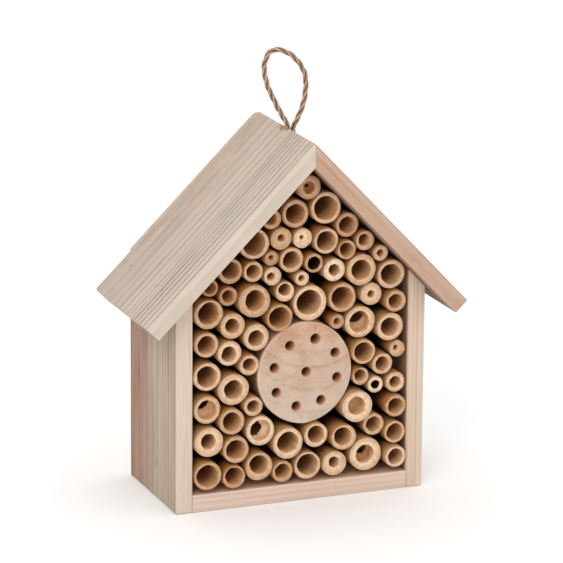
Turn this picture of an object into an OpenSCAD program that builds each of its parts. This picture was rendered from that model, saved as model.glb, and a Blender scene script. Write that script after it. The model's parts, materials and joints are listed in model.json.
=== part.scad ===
// Insect hotel: a small gabled box of planed pine boards, packed with bamboo tubes
// and a drilled slice of a log, hung from a jute loop at the ridge.
// Millimetres, +Z up, the open front faces -Y. Origin under the middle of the whole object.

/* [Box] */
// Width of the box across the outer faces of its side walls
box_w = 180; // [178:1:182]
// Depth of the side walls and the base
box_d = 88; // [84:1:96]
// Thickness of the side walls and the base
board_t = 12; // [11:0.5:12]
// Thickness of the back panel
back_t = 3; // [2:0.5:4]

/* [Roof] */
// Height of the ridge above the ground
ridge_z = 252; // [251:1:256]
// Thickness of the two roof boards
roof_t = 11.5; // [10:0.5:12]
// Pitch of the left roof board in degrees
pitch_left = 44.5; // [44:0.5:45]
// Pitch of the right roof board in degrees
pitch_right = 46.3; // [45.5:0.1:46.5]
// Sideways reach of the left board from the ridge
reach_left = 117.5; // [112:0.5:120]
// Sideways reach of the right board from the ridge
reach_right = 112; // [108:0.5:116]
// How far the roof stands out in front of the walls
overhang = 18; // [10:1:25]

/* [Log slice] */
// Radius of the log slice's two sides
log_r = 36.25; // [34:0.25:36.25]
// Diameter of the nesting holes drilled in the log slice
log_hole = 7; // [6:0.5:8]
// Depth of those holes
log_hole_depth = 60; // [40:5:70]

/* [Hanging loop] */
// Diameter of the jute cord
cord_d = 3.5; // [3:0.5:4]
// Diameter of the hole through the ridge
cord_hole = 8; // [8:0.5:9]
// Angle between the loop's plane and the back panel in degrees
loop_turn = 0; // [-15:5:15]

/* [Hidden] */
$fn = 48;
box_x = 1.5;                    // the box's centre line, so that the roof's two ends are equally far from x = 0
front_y = -36.5;                // front edges of the walls, so that front and back are equally far from y = 0
back_y = front_y + box_d;       // front face of the back panel
ridge_x = 1.25;                 // the ridge, from the box's centre line
half = box_w / 2;
inner = half - board_t;
hole_x = ridge_x + 2.5;         // cord hole, from the box's centre line and from the walls' front edges
hole_y = 33.5;
pivot_z = ridge_z + 2.2;        // height at which the loop tips over

// Height of the roof's top surface, and of its underside, at x
function roof_z(x) = x < ridge_x ? ridge_z - (ridge_x - x) * tan(pitch_left) : ridge_z - (x - ridge_x) * tan(pitch_right);
function under_z(x) = roof_z(x) - roof_t / cos(x < ridge_x ? pitch_left : pitch_right);

// The loop's route in its own plane: distance from the hole along the loop's plane, and height
loop_route = [[-3, 254.2], [-6, 260], [-8.5, 264.5], [-11, 269.5], [-14, 275.5], [-16.5, 281], [-18, 286], [-19, 290.5],
    [-19.2, 295], [-18, 300], [-15.8, 303.8], [-12, 305.7], [-7.5, 305.2], [-3, 303.4], [1.5, 300.3], [5.5, 296],
    [8.5, 291.5], [10.2, 287], [10.8, 282], [10.6, 276], [9.4, 269], [7, 262], [3, 254.2]];

// Catmull-Rom curve through the route's points
function cr(a, b, c, d, t) = 0.5 * ((2 * b) + (c - a) * t + (2 * a - 5 * b + 4 * c - d) * t * t + (3 * b - a - 3 * c + d) * t * t * t);
function at(p, i) = i < 0 ? 2 * p[0] - p[1] : i >= len(p) ? 2 * p[len(p) - 1] - p[len(p) - 2] : p[i];
function smooth(p, n) = concat([for (i = [0 : len(p) - 2]) for (k = [0 : n - 1]) cr(at(p, i - 1), at(p, i), at(p, i + 1), at(p, i + 2), k / n)], [p[len(p) - 1]]);

// Sweep of a round section with m sides along points that lie in the loop's plane; radii gives one radius per point
function unit(v) = v / norm(v);
function ring(c, t, r, m) = let (nrm = [-t[1], t[0]]) [for (k = [0 : m - 1]) let (a = 360 * k / m)
    [c[0] + nrm[0] * r * cos(a), r * sin(a), c[1] + nrm[1] * r * cos(a)]];
function tangent(p, i) = unit(p[min(i + 1, len(p) - 1)] - p[max(i - 1, 0)]);
module sweep(p, radii, m) {
    n = len(p);
    pts = [for (i = [0 : n - 1]) each ring(p[i], tangent(p, i), radii[i], m)];
    sides = [for (i = [0 : n - 2]) for (k = [0 : m - 1]) each [
        [i * m + k, (i + 1) * m + k, (i + 1) * m + (k + 1) % m],
        [i * m + k, (i + 1) * m + (k + 1) % m, i * m + (k + 1) % m]]];
    polyhedron(points = pts, faces = concat(sides, [[for (k = [0 : m - 1]) k]], [[for (k = [m - 1 : -1 : 0]) (n - 1) * m + k]]), convexity = 6);
}

// A board given by its outline in the plane of the front, between two depths measured from the walls' front edges
module board(outline, y0, y1) {
    translate([box_x, front_y + y1, 0]) rotate([90, 0, 0]) linear_extrude(height = y1 - y0) polygon(outline);
}

// A nail through the roof at x, its head driven 0.4 below the board's surface
brad_sink = 0.4;
module brad(x, y, lean, d, len, head) {
    translate([box_x + x, front_y + y, roof_z(x)]) rotate([0, lean, 0]) translate([0, 0, -len - brad_sink]) union() {
        cylinder(d = d, h = len);
        translate([0, 0, len - 0.8]) cylinder(d = head, h = 0.8);
    }
}

// One length of bamboo, mouth forwards. wall_at is the depth of a natural partition inside it, slit the place of the break in it
module tube(x, z, od, bore, set, length = 0, wall_at = 0, slit = [0, 0]) {
    run = (length > 0 ? length : box_d - set);
    translate([box_x + x, front_y + set, z]) rotate([-90, 0, 0]) union() {
        difference() {
            cylinder(d = od, h = run);
            translate([0, 0, -1]) cylinder(d = bore, h = run + 2);
        }
        if (wall_at > 0) translate([0, 0, wall_at]) difference() {
            cylinder(d = bore + 0.4, h = 2);
            if (norm(slit) > 0) translate([slit[0], -slit[1], -1]) cylinder(d = bore * 0.75, h = 4);
        }
    }
}

module cord_bore() {
    translate([box_x + hole_x, front_y + hole_y, ridge_z - 40]) cylinder(d = cord_hole, h = 60);
}

// The dimples over the brads of one roof board
module brad_dimples(x, lean) {
    for (y = [7, 17, 71, 81]) translate([box_x + x, front_y + y, roof_z(x)]) rotate([0, lean, 0]) translate([0, 0, -brad_sink]) cylinder(d = 2, h = 3);
}

module roof_board_left() {
    color("#cbbba8") difference() {
        board([[ridge_x, ridge_z], [ridge_x - reach_left, roof_z(ridge_x - reach_left)],
            [ridge_x - reach_left + roof_t * sin(pitch_left), roof_z(ridge_x - reach_left) - roof_t * cos(pitch_left)],
            [ridge_x, ridge_z - roof_t / cos(pitch_left)]], -overhang, box_d);
        cord_bore();
        brad_dimples(-97, -pitch_left);
    }
}
module roof_board_right() {
    color("#d0ac94") difference() {
        board([[ridge_x, ridge_z], [ridge_x, ridge_z - roof_t / cos(pitch_left)],
            [ridge_x + 0.0, ridge_z - roof_t / cos(pitch_right)],
            [ridge_x + reach_right - roof_t * sin(pitch_right), roof_z(ridge_x + reach_right) - roof_t * cos(pitch_right)],
            [ridge_x + reach_right, roof_z(ridge_x + reach_right)]], -overhang, box_d);
        cord_bore();
        brad_dimples(97, pitch_right);
    }
}
module side_wall_left() {
    color("#b8937a") board([[-half, 0], [-inner, 0], [-inner, under_z(-inner)], [-half, under_z(-half)]], 0, box_d);
}
module side_wall_right() {
    color("#dccdb9") board([[inner, 0], [half, 0], [half, under_z(half)], [inner, under_z(inner)]], 0, box_d);
}
module base_board() {
    color("#dabeaa") board([[-inner, 0], [inner, 0], [inner, board_t], [-inner, board_t]], 0, box_d);
}

// Back panel: covers the box and the roof's ends up to a rounded peak
peak_r = 5;
module back_panel() {
    color("#8a6f57") difference() {
        union() {
            board([[-half, 0], [half, 0], [half, roof_z(half)], [ridge_x + peak_r * sin(pitch_right), roof_z(ridge_x + peak_r * sin(pitch_right))],
                [ridge_x - peak_r * sin(pitch_left), roof_z(ridge_x - peak_r * sin(pitch_left))], [-half, roof_z(-half)]], box_d, box_d + back_t);
            translate([box_x + ridge_x, back_y + back_t, ridge_z - peak_r * 1.43]) rotate([90, 0, 0]) cylinder(r = peak_r, h = back_t);
        }
        pins(0.001);
    }
}

// Log slice: slightly taller than wide, with nine blind nesting holes
log_x = 3;
log_z = 89.5;
log_set = 1.5;
module log_disc() {
    color("#d6baa5") translate([box_x, front_y + log_set, 0]) rotate([-90, 0, 0]) difference() {
        intersection() {
            translate([log_x - 2, -log_z, 0]) cylinder(r = log_r, h = box_d - log_set, $fn = 96);
            translate([log_x + 2, -log_z, 0]) cylinder(r = log_r, h = box_d - log_set, $fn = 96);
        }
        for (p = [[-8, 109.5], [10.5, 112.5], [25, 101.5], [26.5, 84], [4, 90], [-19, 95], [-17.5, 77.5], [-3, 66.5], [15, 69]])
            translate([p[0], -p[1], -1]) cylinder(d = log_hole, h = log_hole_depth + 1);
    }
}

// The loop above the ridge. Its two ends are rounded over so that they turn in the mouth of the hole
module hanging_loop() {
    p = smooth(loop_route, 3);
    n = len(p);
    r = cord_d / 2;
    translate([box_x + hole_x, front_y + hole_y, 0]) rotate([0, 0, loop_turn])
        color("#a88a6c") sweep(p, [for (i = [0 : n - 1]) i == 0 || i == n - 1 ? r * 0.6 : r], 8);
}
// The cord's two ends run down through the ridge to a knot under it
knot_z = 216;
module loop_knot() {
    color("#9a7c5e") translate([box_x + hole_x, front_y + hole_y, 0]) rotate([0, 0, loop_turn]) union() {
        for (s = [-1, 1]) translate([s * 1.8, 0, knot_z + 8]) cylinder(d = cord_d, h = pivot_z - 2.2 - knot_z - 8);
        translate([0, 0, knot_z]) rotate_extrude() polygon([[0, 0], [2.5, 0], [4.5, 1.5], [5.5, 4], [5.5, 7], [4.5, 9.5], [2.5, 11], [0, 11]]);
    }
}

// Brads through the roof boards into the tops of the side walls
module roof_brads() {
    color("#8d8a84") for (y = [7, 17, 71, 81]) {
        brad(-97, y, -pitch_left, 1.2, 24, 2);
        brad(97, y, pitch_right, 1.2, 24, 2);
    }
}
// Panel pins through the back panel into the walls and the base, heads flush
module pins(proud) {
    for (p = [[-84, 8], [-84, 50], [-84, 90], [-84, 126], [84, 8], [84, 50], [84, 90], [84, 126], [-28, 6], [28, 6], [-45, 199], [47, 196]])
        translate([box_x + p[0], back_y + back_t + proud, p[1]]) rotate([90, 0, 0]) union() {
            cylinder(d = 1.2, h = 15);
            cylinder(d = 2.6, h = 0.8 + proud);
        }
}
module back_panel_pins() {
    color("#8d8a84") pins(0);
}

// Bamboo tubes, from the ridge down to the base: x and z of the axis from the box's centre line and underside,
// outer and bore diameter, and how far the mouth stands behind (+) or in front of (-) the walls' front edges.
module bamboo_01_04() { color("#dfc199") { tube(3, 219, 17.5, 8.5, -3, length = 27, wall_at = 6); tube(-23, 199, 14, 8.5, -2); } }
module bamboo_03() { color("#e3c9a2") { tube(16, 203.5, 22.5, 16.5, -1); } }
module bamboo_02() { color("#d8b98f") { tube(-5.5, 201, 20, 13.5, 0); } }
module bamboo_05_10() { color("#e6cfab") { tube(31.5, 190.5, 17.5, 11.5, -1); tube(44.5, 178.5, 14.5, 8, -1); } }
module bamboo_06_07() { color("#dcbd92") { tube(-16, 185, 16, 5, -1); tube(-0.5, 184, 14.5, 3, -1); } }
module bamboo_09() { color("#dfc199") { tube(-35.5, 183.5, 22, 16, -2); } }
module bamboo_08() { color("#e3c9a2") { tube(16, 181, 18.5, 13.5, -2); } }
module bamboo_11_12() { color("#d8b98f") { tube(31, 173.5, 14, 10, -2); tube(56.5, 168.5, 12, 5, 0); } }
module bamboo_13_21() { color("#e6cfab") { tube(-22.5, 172, 11, 3.5, -0.5); tube(-21.5, 159.5, 13.5, 5.5, 0); } }
module bamboo_14_26() { color("#dcbd92") { tube(-8, 169.5, 18, 12, 0); tube(-12.5, 148, 14.5, 8.5, 0); } }
module bamboo_15_22() { color("#dfc199") { tube(8, 166, 14, 9, -0.5); tube(-0.5, 156, 11, 4.5, -0.5); } }
module bamboo_19_23() { color("#e3c9a2") { tube(-52, 166, 18, 12, -1); tube(-66, 155.5, 12.5, 8.5, 0); } }
module bamboo_20_24() { color("#d8b98f") { tube(-35.5, 164, 15, 9.5, -0.5); tube(-53, 148.5, 14, 8.5, 0); } }
module bamboo_16_29() { color("#e6cfab") { tube(22.5, 160, 16.5, 8, -1); tube(50, 140.5, 16.5, 5, 0); } }
module bamboo_17() { color("#dcbd92") { tube(42, 158.5, 22.5, 14, -1.5); } }
module bamboo_18() { color("#dfc199") { tube(64.5, 153, 21, 14.5, 0); } }
module bamboo_25() { color("#e3c9a2") { tube(-34.5, 143.5, 23.5, 14, -0.5); } }
module bamboo_28() { color("#d8b98f") { tube(29, 140, 21, 15, 0); } }
module bamboo_27() { color("#e6cfab") { tube(5.5, 138.5, 25.5, 17.5, 0); } }
module bamboo_31() { color("#dcbd92") { tube(-67, 137.5, 21.5, 15, -0.5); } }
module bamboo_30_34() { color("#dfc199") { tube(68, 134, 16, 10, -0.5); tube(25.5, 123.5, 11, 5, 0); } }
module bamboo_33() { color("#e3c9a2") { tube(-16.5, 130.5, 19.5, 15, -1); } }
module bamboo_32_37() { color("#d8b98f") { tube(-49.5, 127.5, 18.5, 10, 1); tube(-32.5, 118, 19.5, 11, 1); } }
module bamboo_35_39() { color("#e6cfab") { tube(42.5, 121.5, 23, 14.5, 1, wall_at = 8, slit = [0, 5]); tube(70, 100, 12.5, 3.5, 0.5, wall_at = 4); } }
module bamboo_38() { color("#dcbd92") { tube(-68.5, 116.5, 18, 12.5, -0.5); } }
module bamboo_36() { color("#dfc199") { tube(64.5, 116, 20.5, 13, 0.5); } }
module bamboo_40_43() { color("#e3c9a2") { tube(-52, 109, 18, 10.5, 0); tube(-38, 99.5, 15, 9, -0.5); } }
module bamboo_41() { color("#d8b98f") { tube(45, 100.5, 18, 13.5, -0.5); } }
module bamboo_44() { color("#e6cfab") { tube(-67.5, 94, 20.5, 14.5, 1); } }
module bamboo_42_47() { color("#dcbd92") { tube(59, 90.5, 16, 10, 0); tube(69, 76.5, 15, 8, 0.5); } }
module bamboo_48() { color("#dfc199") { tube(-48.5, 83, 23, 13, 1.5); } }
module bamboo_45_46() { color("#e3c9a2") { tube(43.5, 83, 13, 8.5, 0.5); tube(54.5, 76, 12.5, 6, 1); } }
module bamboo_52_60() { color("#d8b98f") { tube(-67.5, 71, 20, 13.5, 0.5, wall_at = 7, slit = [-7, 5]); tube(-66.5, 48.5, 21.5, 10.5, -0.5); } }
module bamboo_51_55() { color("#e6cfab") { tube(-34.5, 70, 14.5, 8.5, 0.5); tube(-29.5, 52.5, 21.5, 14.5, 0, wall_at = 5, slit = [-6, 0]); } }
module bamboo_50_57() { color("#dcbd92") { tube(40.5, 62.5, 23, 12.5, -1.5, wall_at = 11); tube(11, 45, 18, 12, 0); } }
module bamboo_53() { color("#dfc199") { tube(-50, 61, 19, 13, 0); } }
module bamboo_49_54() { color("#e3c9a2") { tube(69.5, 59.5, 16.5, 11, 0); tube(54, 47.5, 16.5, 10.5, 2); } }
module bamboo_59() { color("#d8b98f") { tube(-9.5, 41.5, 23, 15, 0); } }
module bamboo_58() { color("#e6cfab") { tube(31, 41.5, 19, 12.5, -1); } }
module bamboo_61() { color("#dcbd92") { tube(-47, 41, 19.5, 13.5, 0); } }
module bamboo_56_63() { color("#dfc199") { tube(69.5, 40.5, 16.5, 12, 1); tube(69.5, 23.5, 16.5, 11, -1); } }
module bamboo_65() { color("#e3c9a2") { tube(-30.5, 27.5, 20.5, 13, -0.5); } }
module bamboo_62_64() { color("#d8b98f") { tube(48, 27, 24.5, 13, 1, wall_at = 9, slit = [-5, 4]); tube(25, 23, 18.5, 7.5, 1, wall_at = 60); } }
module bamboo_68() { color("#e6cfab") { tube(-67.5, 25, 20.5, 15.5, -1); } }
module bamboo_66() { color("#dcbd92") { tube(5, 24, 20, 15, 0); } }
module bamboo_67_69() { color("#dfc199") { tube(-13, 21.5, 16, 10.5, 0.5); tube(-48.5, 22, 17, 12.5, -0.5); } }

roof_board_left();
roof_board_right();
side_wall_left();
side_wall_right();
base_board();
back_panel();
log_disc();
hanging_loop();
loop_knot();
roof_brads();
back_panel_pins();
bamboo_01_04();
bamboo_03();
bamboo_02();
bamboo_05_10();
bamboo_06_07();
bamboo_09();
bamboo_08();
bamboo_11_12();
bamboo_13_21();
bamboo_14_26();
bamboo_15_22();
bamboo_19_23();
bamboo_20_24();
bamboo_16_29();
bamboo_17();
bamboo_18();
bamboo_25();
bamboo_28();
bamboo_27();
bamboo_31();
bamboo_30_34();
bamboo_33();
bamboo_32_37();
bamboo_35_39();
bamboo_38();
bamboo_36();
bamboo_40_43();
bamboo_41();
bamboo_44();
bamboo_42_47();
bamboo_48();
bamboo_45_46();
bamboo_52_60();
bamboo_51_55();
bamboo_50_57();
bamboo_53();
bamboo_49_54();
bamboo_59();
bamboo_58();
bamboo_61();
bamboo_56_63();
bamboo_65();
bamboo_62_64();
bamboo_68();
bamboo_66();
bamboo_67_69();
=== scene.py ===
import bpy
import bmesh
import json
import math
import random
from mathutils import Vector, Matrix, noise

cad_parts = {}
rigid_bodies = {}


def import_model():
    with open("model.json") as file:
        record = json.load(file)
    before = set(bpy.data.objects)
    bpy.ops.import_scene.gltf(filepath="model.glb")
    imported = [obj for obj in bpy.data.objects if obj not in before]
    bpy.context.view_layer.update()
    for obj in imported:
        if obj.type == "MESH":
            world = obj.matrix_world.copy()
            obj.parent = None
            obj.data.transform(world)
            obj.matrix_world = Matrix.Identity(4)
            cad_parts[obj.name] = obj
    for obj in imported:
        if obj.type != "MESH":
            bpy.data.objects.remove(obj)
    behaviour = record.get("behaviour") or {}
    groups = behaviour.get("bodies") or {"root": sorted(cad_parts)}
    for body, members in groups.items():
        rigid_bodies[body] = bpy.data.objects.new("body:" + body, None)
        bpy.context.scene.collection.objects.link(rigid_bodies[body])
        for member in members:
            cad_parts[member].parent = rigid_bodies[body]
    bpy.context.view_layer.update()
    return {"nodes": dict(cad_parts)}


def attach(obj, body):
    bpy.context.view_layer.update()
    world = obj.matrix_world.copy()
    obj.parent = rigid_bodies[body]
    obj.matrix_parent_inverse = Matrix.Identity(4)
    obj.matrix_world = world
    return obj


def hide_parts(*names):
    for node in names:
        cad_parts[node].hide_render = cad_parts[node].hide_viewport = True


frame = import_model()
sc = bpy.context.scene
MM = 0.001

# ---------------------------------------------------------------- sizes shared with the CAD model, in mm
BOX_X, FRONT_Y, BOX_D, BACK_T = 1.5, -36.5, 88.0, 3.0
BOARD_T, ROOF_T, RIDGE_Z, RIDGE_X = 12.0, 11.5, 252.0, 1.25
PL, PR = math.radians(44.5), math.radians(46.3)
REACH_L, REACH_R, OVER = 117.5, 112.0, 18.0
HALF, INNER = 90.0, 78.0
HOLE_X, HOLE_Y, PIVOT_Z, CORD_D, CORD_HOLE = 3.75, 33.5, 254.2, 3.5, 8.0
LOOP_TURN = 0.0
LOG_X, LOG_Z, LOG_R, LOG_SET, LOG_HOLE = 3.0, 89.5, 36.25, 1.5, 7.0
LOG_HOLES = [(-8, 109.5), (10.5, 112.5), (25, 101.5), (26.5, 84), (4, 90), (-19, 95), (-17.5, 77.5), (-3, 66.5), (15, 69)]
ROUTE = [(-2.4, 254.2), (-5.7, 260), (-8.4, 264.5), (-11, 269.5), (-14, 275.5), (-16.5, 281), (-18, 286), (-19, 290.5),
         (-19.2, 295), (-18, 300), (-15.8, 303.8), (-12, 305.7), (-7.5, 305.2), (-3, 303.4), (1.5, 300.3), (5.5, 296),
         (8.5, 291.5), (10.2, 287), (10.8, 282), (10.6, 276), (9.4, 269), (7, 262), (3, 254.2)]


def roof_z(x):
    return RIDGE_Z - (RIDGE_X - x) * math.tan(PL) if x < RIDGE_X else RIDGE_Z - (x - RIDGE_X) * math.tan(PR)


def under_z(x):
    return roof_z(x) - ROOF_T / math.cos(PL if x < RIDGE_X else PR)


# ---------------------------------------------------------------- camera
def make_camera():
    az, el, ro = math.radians(-21.751), math.radians(15.372), math.radians(0.486)
    fwd = Vector((-math.sin(az) * math.cos(el), math.cos(az) * math.cos(el), -math.sin(el)))
    right = fwd.cross(Vector((0, 0, 1))).normalized()
    up = right.cross(fwd)
    r = math.cos(ro) * right + math.sin(ro) * up
    u = -math.sin(ro) * right + math.cos(ro) * up
    cam = bpy.data.cameras.new("camera")
    cam.sensor_width = 36.0
    cam.lens = 3550.6 / 563 * 36
    cam.clip_start, cam.clip_end = 0.1, 20
    ob = bpy.data.objects.new("camera", cam)
    sc.collection.objects.link(ob)
    m = Matrix((r, u, -fwd)).transposed().to_4x4()
    m.translation = Vector((-0.8594, -2.1564, 0.7828))
    ob.matrix_world = m
    sc.camera = ob


make_camera()


# ---------------------------------------------------------------- node helpers
class G:
    """A small node graph on one material."""

    def __init__(self, name):
        old = bpy.data.materials.get(name)
        self.mat = old or bpy.data.materials.new(name)
        self.mat.use_nodes = True
        self.t = self.mat.node_tree
        self.t.nodes.clear()
        self.out = self.n("ShaderNodeOutputMaterial")
        self.b = self.n("ShaderNodeBsdfPrincipled")
        self.t.links.new(self.b.outputs["BSDF"], self.out.inputs["Surface"])

    def n(self, kind, **kw):
        x = self.t.nodes.new(kind)
        for k, v in kw.items():
            setattr(x, k, v)
        return x

    def put(self, sock, val):
        if isinstance(val, bpy.types.NodeSocket):
            self.t.links.new(val, sock)
        else:
            sock.default_value = val

    def math(self, op, a, b=0.0, c=0.0, clamp=False):
        x = self.n("ShaderNodeMath", operation=op, use_clamp=clamp)
        self.put(x.inputs[0], a)
        self.put(x.inputs[1], b)
        self.put(x.inputs[2], c)
        return x.outputs[0]

    def vmath(self, op, a, b=(0, 0, 0), s=None):
        x = self.n("ShaderNodeVectorMath", operation=op)
        self.put(x.inputs[0], a)
        if op != "SCALE":
            self.put(x.inputs[1], b)
        else:
            self.put(x.inputs[3], s)
        return x.outputs["Value"] if op in ("DOT_PRODUCT", "LENGTH", "DISTANCE") else x.outputs["Vector"]

    def combine(self, x, y, z):
        c = self.n("ShaderNodeCombineXYZ")
        self.put(c.inputs[0], x)
        self.put(c.inputs[1], y)
        self.put(c.inputs[2], z)
        return c.outputs[0]

    def split(self, v):
        s = self.n("ShaderNodeSeparateXYZ")
        self.put(s.inputs[0], v)
        return s.outputs[0], s.outputs[1], s.outputs[2]

    def noise(self, vec, scale=1.0, detail=3.0, rough=0.55, dist=0.0):
        x = self.n("ShaderNodeTexNoise")
        self.put(x.inputs["Vector"], vec)
        x.inputs["Scale"].default_value = scale
        x.inputs["Detail"].default_value = detail
        x.inputs["Roughness"].default_value = rough
        x.inputs["Distortion"].default_value = dist
        return x.outputs["Fac"]

    def voro(self, vec, scale=1.0, feature="F1", rand=1.0):
        x = self.n("ShaderNodeTexVoronoi", feature=feature)
        self.put(x.inputs["Vector"], vec)
        x.inputs["Scale"].default_value = scale
        x.inputs["Randomness"].default_value = rand
        return x.outputs["Distance"]

    def ramp(self, f, stops, interp="LINEAR"):
        x = self.n("ShaderNodeValToRGB")
        x.color_ramp.interpolation = interp
        els = x.color_ramp.elements
        while len(els) < len(stops):
            els.new(0.5)
        for e, (p, c) in zip(els, stops):
            e.position = p
            e.color = c if len(c) == 4 else (*c, 1.0)
        self.put(x.inputs[0], f)
        return x.outputs[0]

    def map(self, f, a, b, c, d, clamp=True):
        x = self.n("ShaderNodeMapRange", clamp=clamp)
        self.put(x.inputs["Value"], f)
        for k, v in zip(("From Min", "From Max", "To Min", "To Max"), (a, b, c, d)):
            self.put(x.inputs[k], v)
        return x.outputs["Result"]

    def mix(self, f, a, b, blend="MIX"):
        x = self.n("ShaderNodeMix", data_type="RGBA", blend_type=blend)
        self.put(x.inputs[0], f)
        self.put(x.inputs[6], a if isinstance(a, bpy.types.NodeSocket) else (*a, 1.0)[:4])
        self.put(x.inputs[7], b if isinstance(b, bpy.types.NodeSocket) else (*b, 1.0)[:4])
        return x.outputs[2]

    def pos(self, k=1000.0):
        """Object coordinates, in millimetres."""
        c = self.n("ShaderNodeTexCoord")
        return self.vmath("SCALE", c.outputs["Object"], s=k)

    def attr(self, name):
        return self.n("ShaderNodeAttribute", attribute_type="GEOMETRY", attribute_name=name)

    def bump(self, height, dist, strength=1.0, normal=None):
        x = self.n("ShaderNodeBump")
        x.inputs["Strength"].default_value = strength
        x.inputs["Distance"].default_value = dist
        self.put(x.inputs["Height"], height)
        if normal is not None:
            self.put(x.inputs["Normal"], normal)
        return x.outputs["Normal"]

    def finish(self, color, rough, normal=None, spec=0.25):
        self.put(self.b.inputs["Base Color"], color)
        self.put(self.b.inputs["Roughness"], rough)
        self.b.inputs["Specular IOR Level"].default_value = spec
        if normal is not None:
            self.put(self.b.inputs["Normal"], normal)
        return self.mat


def lin(r, g, b):
    """A colour given as 0-255 display values."""
    f = lambda c: c / 12.92 if c <= 0.04045 else ((c + 0.055) / 1.055) ** 2.4
    return (f(r / 255), f(g / 255), f(b / 255))


# ---------------------------------------------------------------- materials
def pine(name, origin, along, across, width, rings, n_rings, light, dark, tone_stops, contrast=0.5, seed=0.0,
         tilt=0.5, wobble=0.5, knots=(), fibre=0.35, contrast_stops=None, rough=0.78, streaks=0.5, front=None,
         warm=None, patches=(), ring_lo=0.35, inner_painted_shade=()):
    """Planed pine. Grain runs along one axis, growth rings are spread over the board's width by the rings list
    ((place across, ring count reached), ...), and tone_stops colour the board across its width."""
    g = G(name)
    p = g.vmath("SUBTRACT", g.pos(), origin)
    a, c = Vector(along).normalized(), Vector(across).normalized()
    d = a.cross(c)
    u = g.vmath("DOT_PRODUCT", p, tuple(a))
    v = g.vmath("DOT_PRODUCT", p, tuple(c))
    w = g.vmath("DOT_PRODUCT", p, tuple(d))
    # slow wander of the rings along the board, and finer waviness
    slow = g.noise(g.combine(g.math("MULTIPLY", u, 0.008), g.math("MULTIPLY", v, 0.02), seed), 1.0, 2.0, 0.5)
    fine = g.noise(g.combine(g.math("MULTIPLY", u, 0.05), g.math("MULTIPLY", v, 0.12), g.math("ADD", g.math("MULTIPLY", w, 0.1), seed + 7)), 1.0, 3.0, 0.55)
    vv = g.math("ADD", v, g.math("MULTIPLY", w, tilt))
    vv = g.math("ADD", vv, g.math("MULTIPLY", g.math("SUBTRACT", slow, 0.5), wobble * 6))
    vv = g.math("ADD", vv, g.math("MULTIPLY", g.math("SUBTRACT", fine, 0.5), wobble * 1.6))
    knot_mask = None
    for (ku, kv, kr) in knots:
        du = g.math("MULTIPLY", g.math("SUBTRACT", u, ku), 0.45)
        dv = g.math("SUBTRACT", v, kv)
        q = g.math("ADD", g.math("MULTIPLY", du, du), g.math("MULTIPLY", dv, dv))
        e = g.math("EXPONENT", g.math("MULTIPLY", q, -1.0 / (kr * kr)))
        vv = g.math("ADD", vv, g.math("MULTIPLY", e, kr * 1.5))
        k2 = g.math("EXPONENT", g.math("MULTIPLY", q, -5.0 / (kr * kr)))
        knot_mask = k2 if knot_mask is None else g.math("MAXIMUM", knot_mask, k2)
    f = g.math("DIVIDE", vv, width)
    total = float(n_rings)
    phase = g.ramp(g.map(f, -0.1, 1.1, 0.0, 1.0), [((pos + 0.1) / 1.2, (val / total,) * 3) for pos, val in rings])
    phase = g.math("MULTIPLY", g.split(phase)[0], total)
    fr = g.math("FRACT", phase)
    ring = g.split(g.ramp(fr, [(0.0, (0.3,) * 3), (0.1, (0.0,) * 3), (0.38, (0.1,) * 3), (0.62, (0.75,) * 3), (0.8, (1.0,) * 3), (0.92, (0.8,) * 3), (1.0, (0.3,) * 3)]))[0]
    # each ring has its own strength
    per = g.noise(g.combine(g.math("FLOOR", phase), seed * 3.1, 0.0), 3.7, 0.0, 0.5)
    ring = g.math("MULTIPLY", ring, g.map(per, 0.3, 0.7, ring_lo, 1.0))
    if contrast_stops:
        zone = g.split(g.ramp(g.map(f, 0.0, 1.0, 0.0, 1.0), [(a_, (b_,) * 3) for a_, b_ in contrast_stops]))[0]
        ring = g.math("MULTIPLY", ring, zone)
    # fibres: long thin streaks
    fib = g.noise(g.combine(g.math("MULTIPLY", u, 0.03), g.math("MULTIPLY", v, 1.4), g.math("MULTIPLY", w, 1.4)), 1.0, 4.0, 0.65)
    fib2 = g.noise(g.combine(g.math("MULTIPLY", u, 0.16), g.math("MULTIPLY", v, 4.5), g.math("MULTIPLY", w, 4.5)), 1.0, 2.0, 0.6)
    streak = g.noise(g.combine(g.math("MULTIPLY", u, 0.007), g.math("MULTIPLY", v, 0.42), g.math("ADD", g.math("MULTIPLY", w, 0.3), seed + 11)), 1.0, 3.0, 0.6)
    blot = g.noise(g.combine(g.math("MULTIPLY", u, 0.015), g.math("MULTIPLY", v, 0.06), g.math("ADD", g.math("MULTIPLY", w, 0.06), seed + 3)), 1.0, 3.0, 0.5)
    tone = g.ramp(g.map(g.math("ADD", f, g.math("MULTIPLY", g.math("SUBTRACT", blot, 0.5), 0.12)), 0.0, 1.0, 0.0, 1.0), tone_stops)
    col = g.mix(g.math("MULTIPLY", ring, contrast), tone, dark, "MIX")
    col = g.mix(g.map(streak, 0.4, 0.68, 0.0, streaks * min(1.0, contrast)), col, dark)
    col = g.mix(g.map(streak, 0.28, 0.46, 0.9 * streaks * min(1.0, contrast), 0.0), col, light)
    if warm:
        wn = g.noise(g.combine(g.math("MULTIPLY", u, 0.035), g.math("MULTIPLY", v, 0.09), g.math("ADD", g.math("MULTIPLY", w, 0.1), seed + 19)), 1.0, 3.0, 0.6)
        col = g.mix(g.map(wn, 0.5, 0.72, 0.0, 0.6), col, warm)
    for (pu, pv, pr, pc, pk) in patches:
        du = g.math("SUBTRACT", u, pu)
        dv = g.math("SUBTRACT", v, pv)
        q = g.math("ADD", g.math("MULTIPLY", du, du), g.math("MULTIPLY", dv, dv))
        col = g.mix(g.math("MULTIPLY", g.math("EXPONENT", g.math("MULTIPLY", q, -1.0 / (pr * pr))), pk), col, pc)
    if front:
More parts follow.
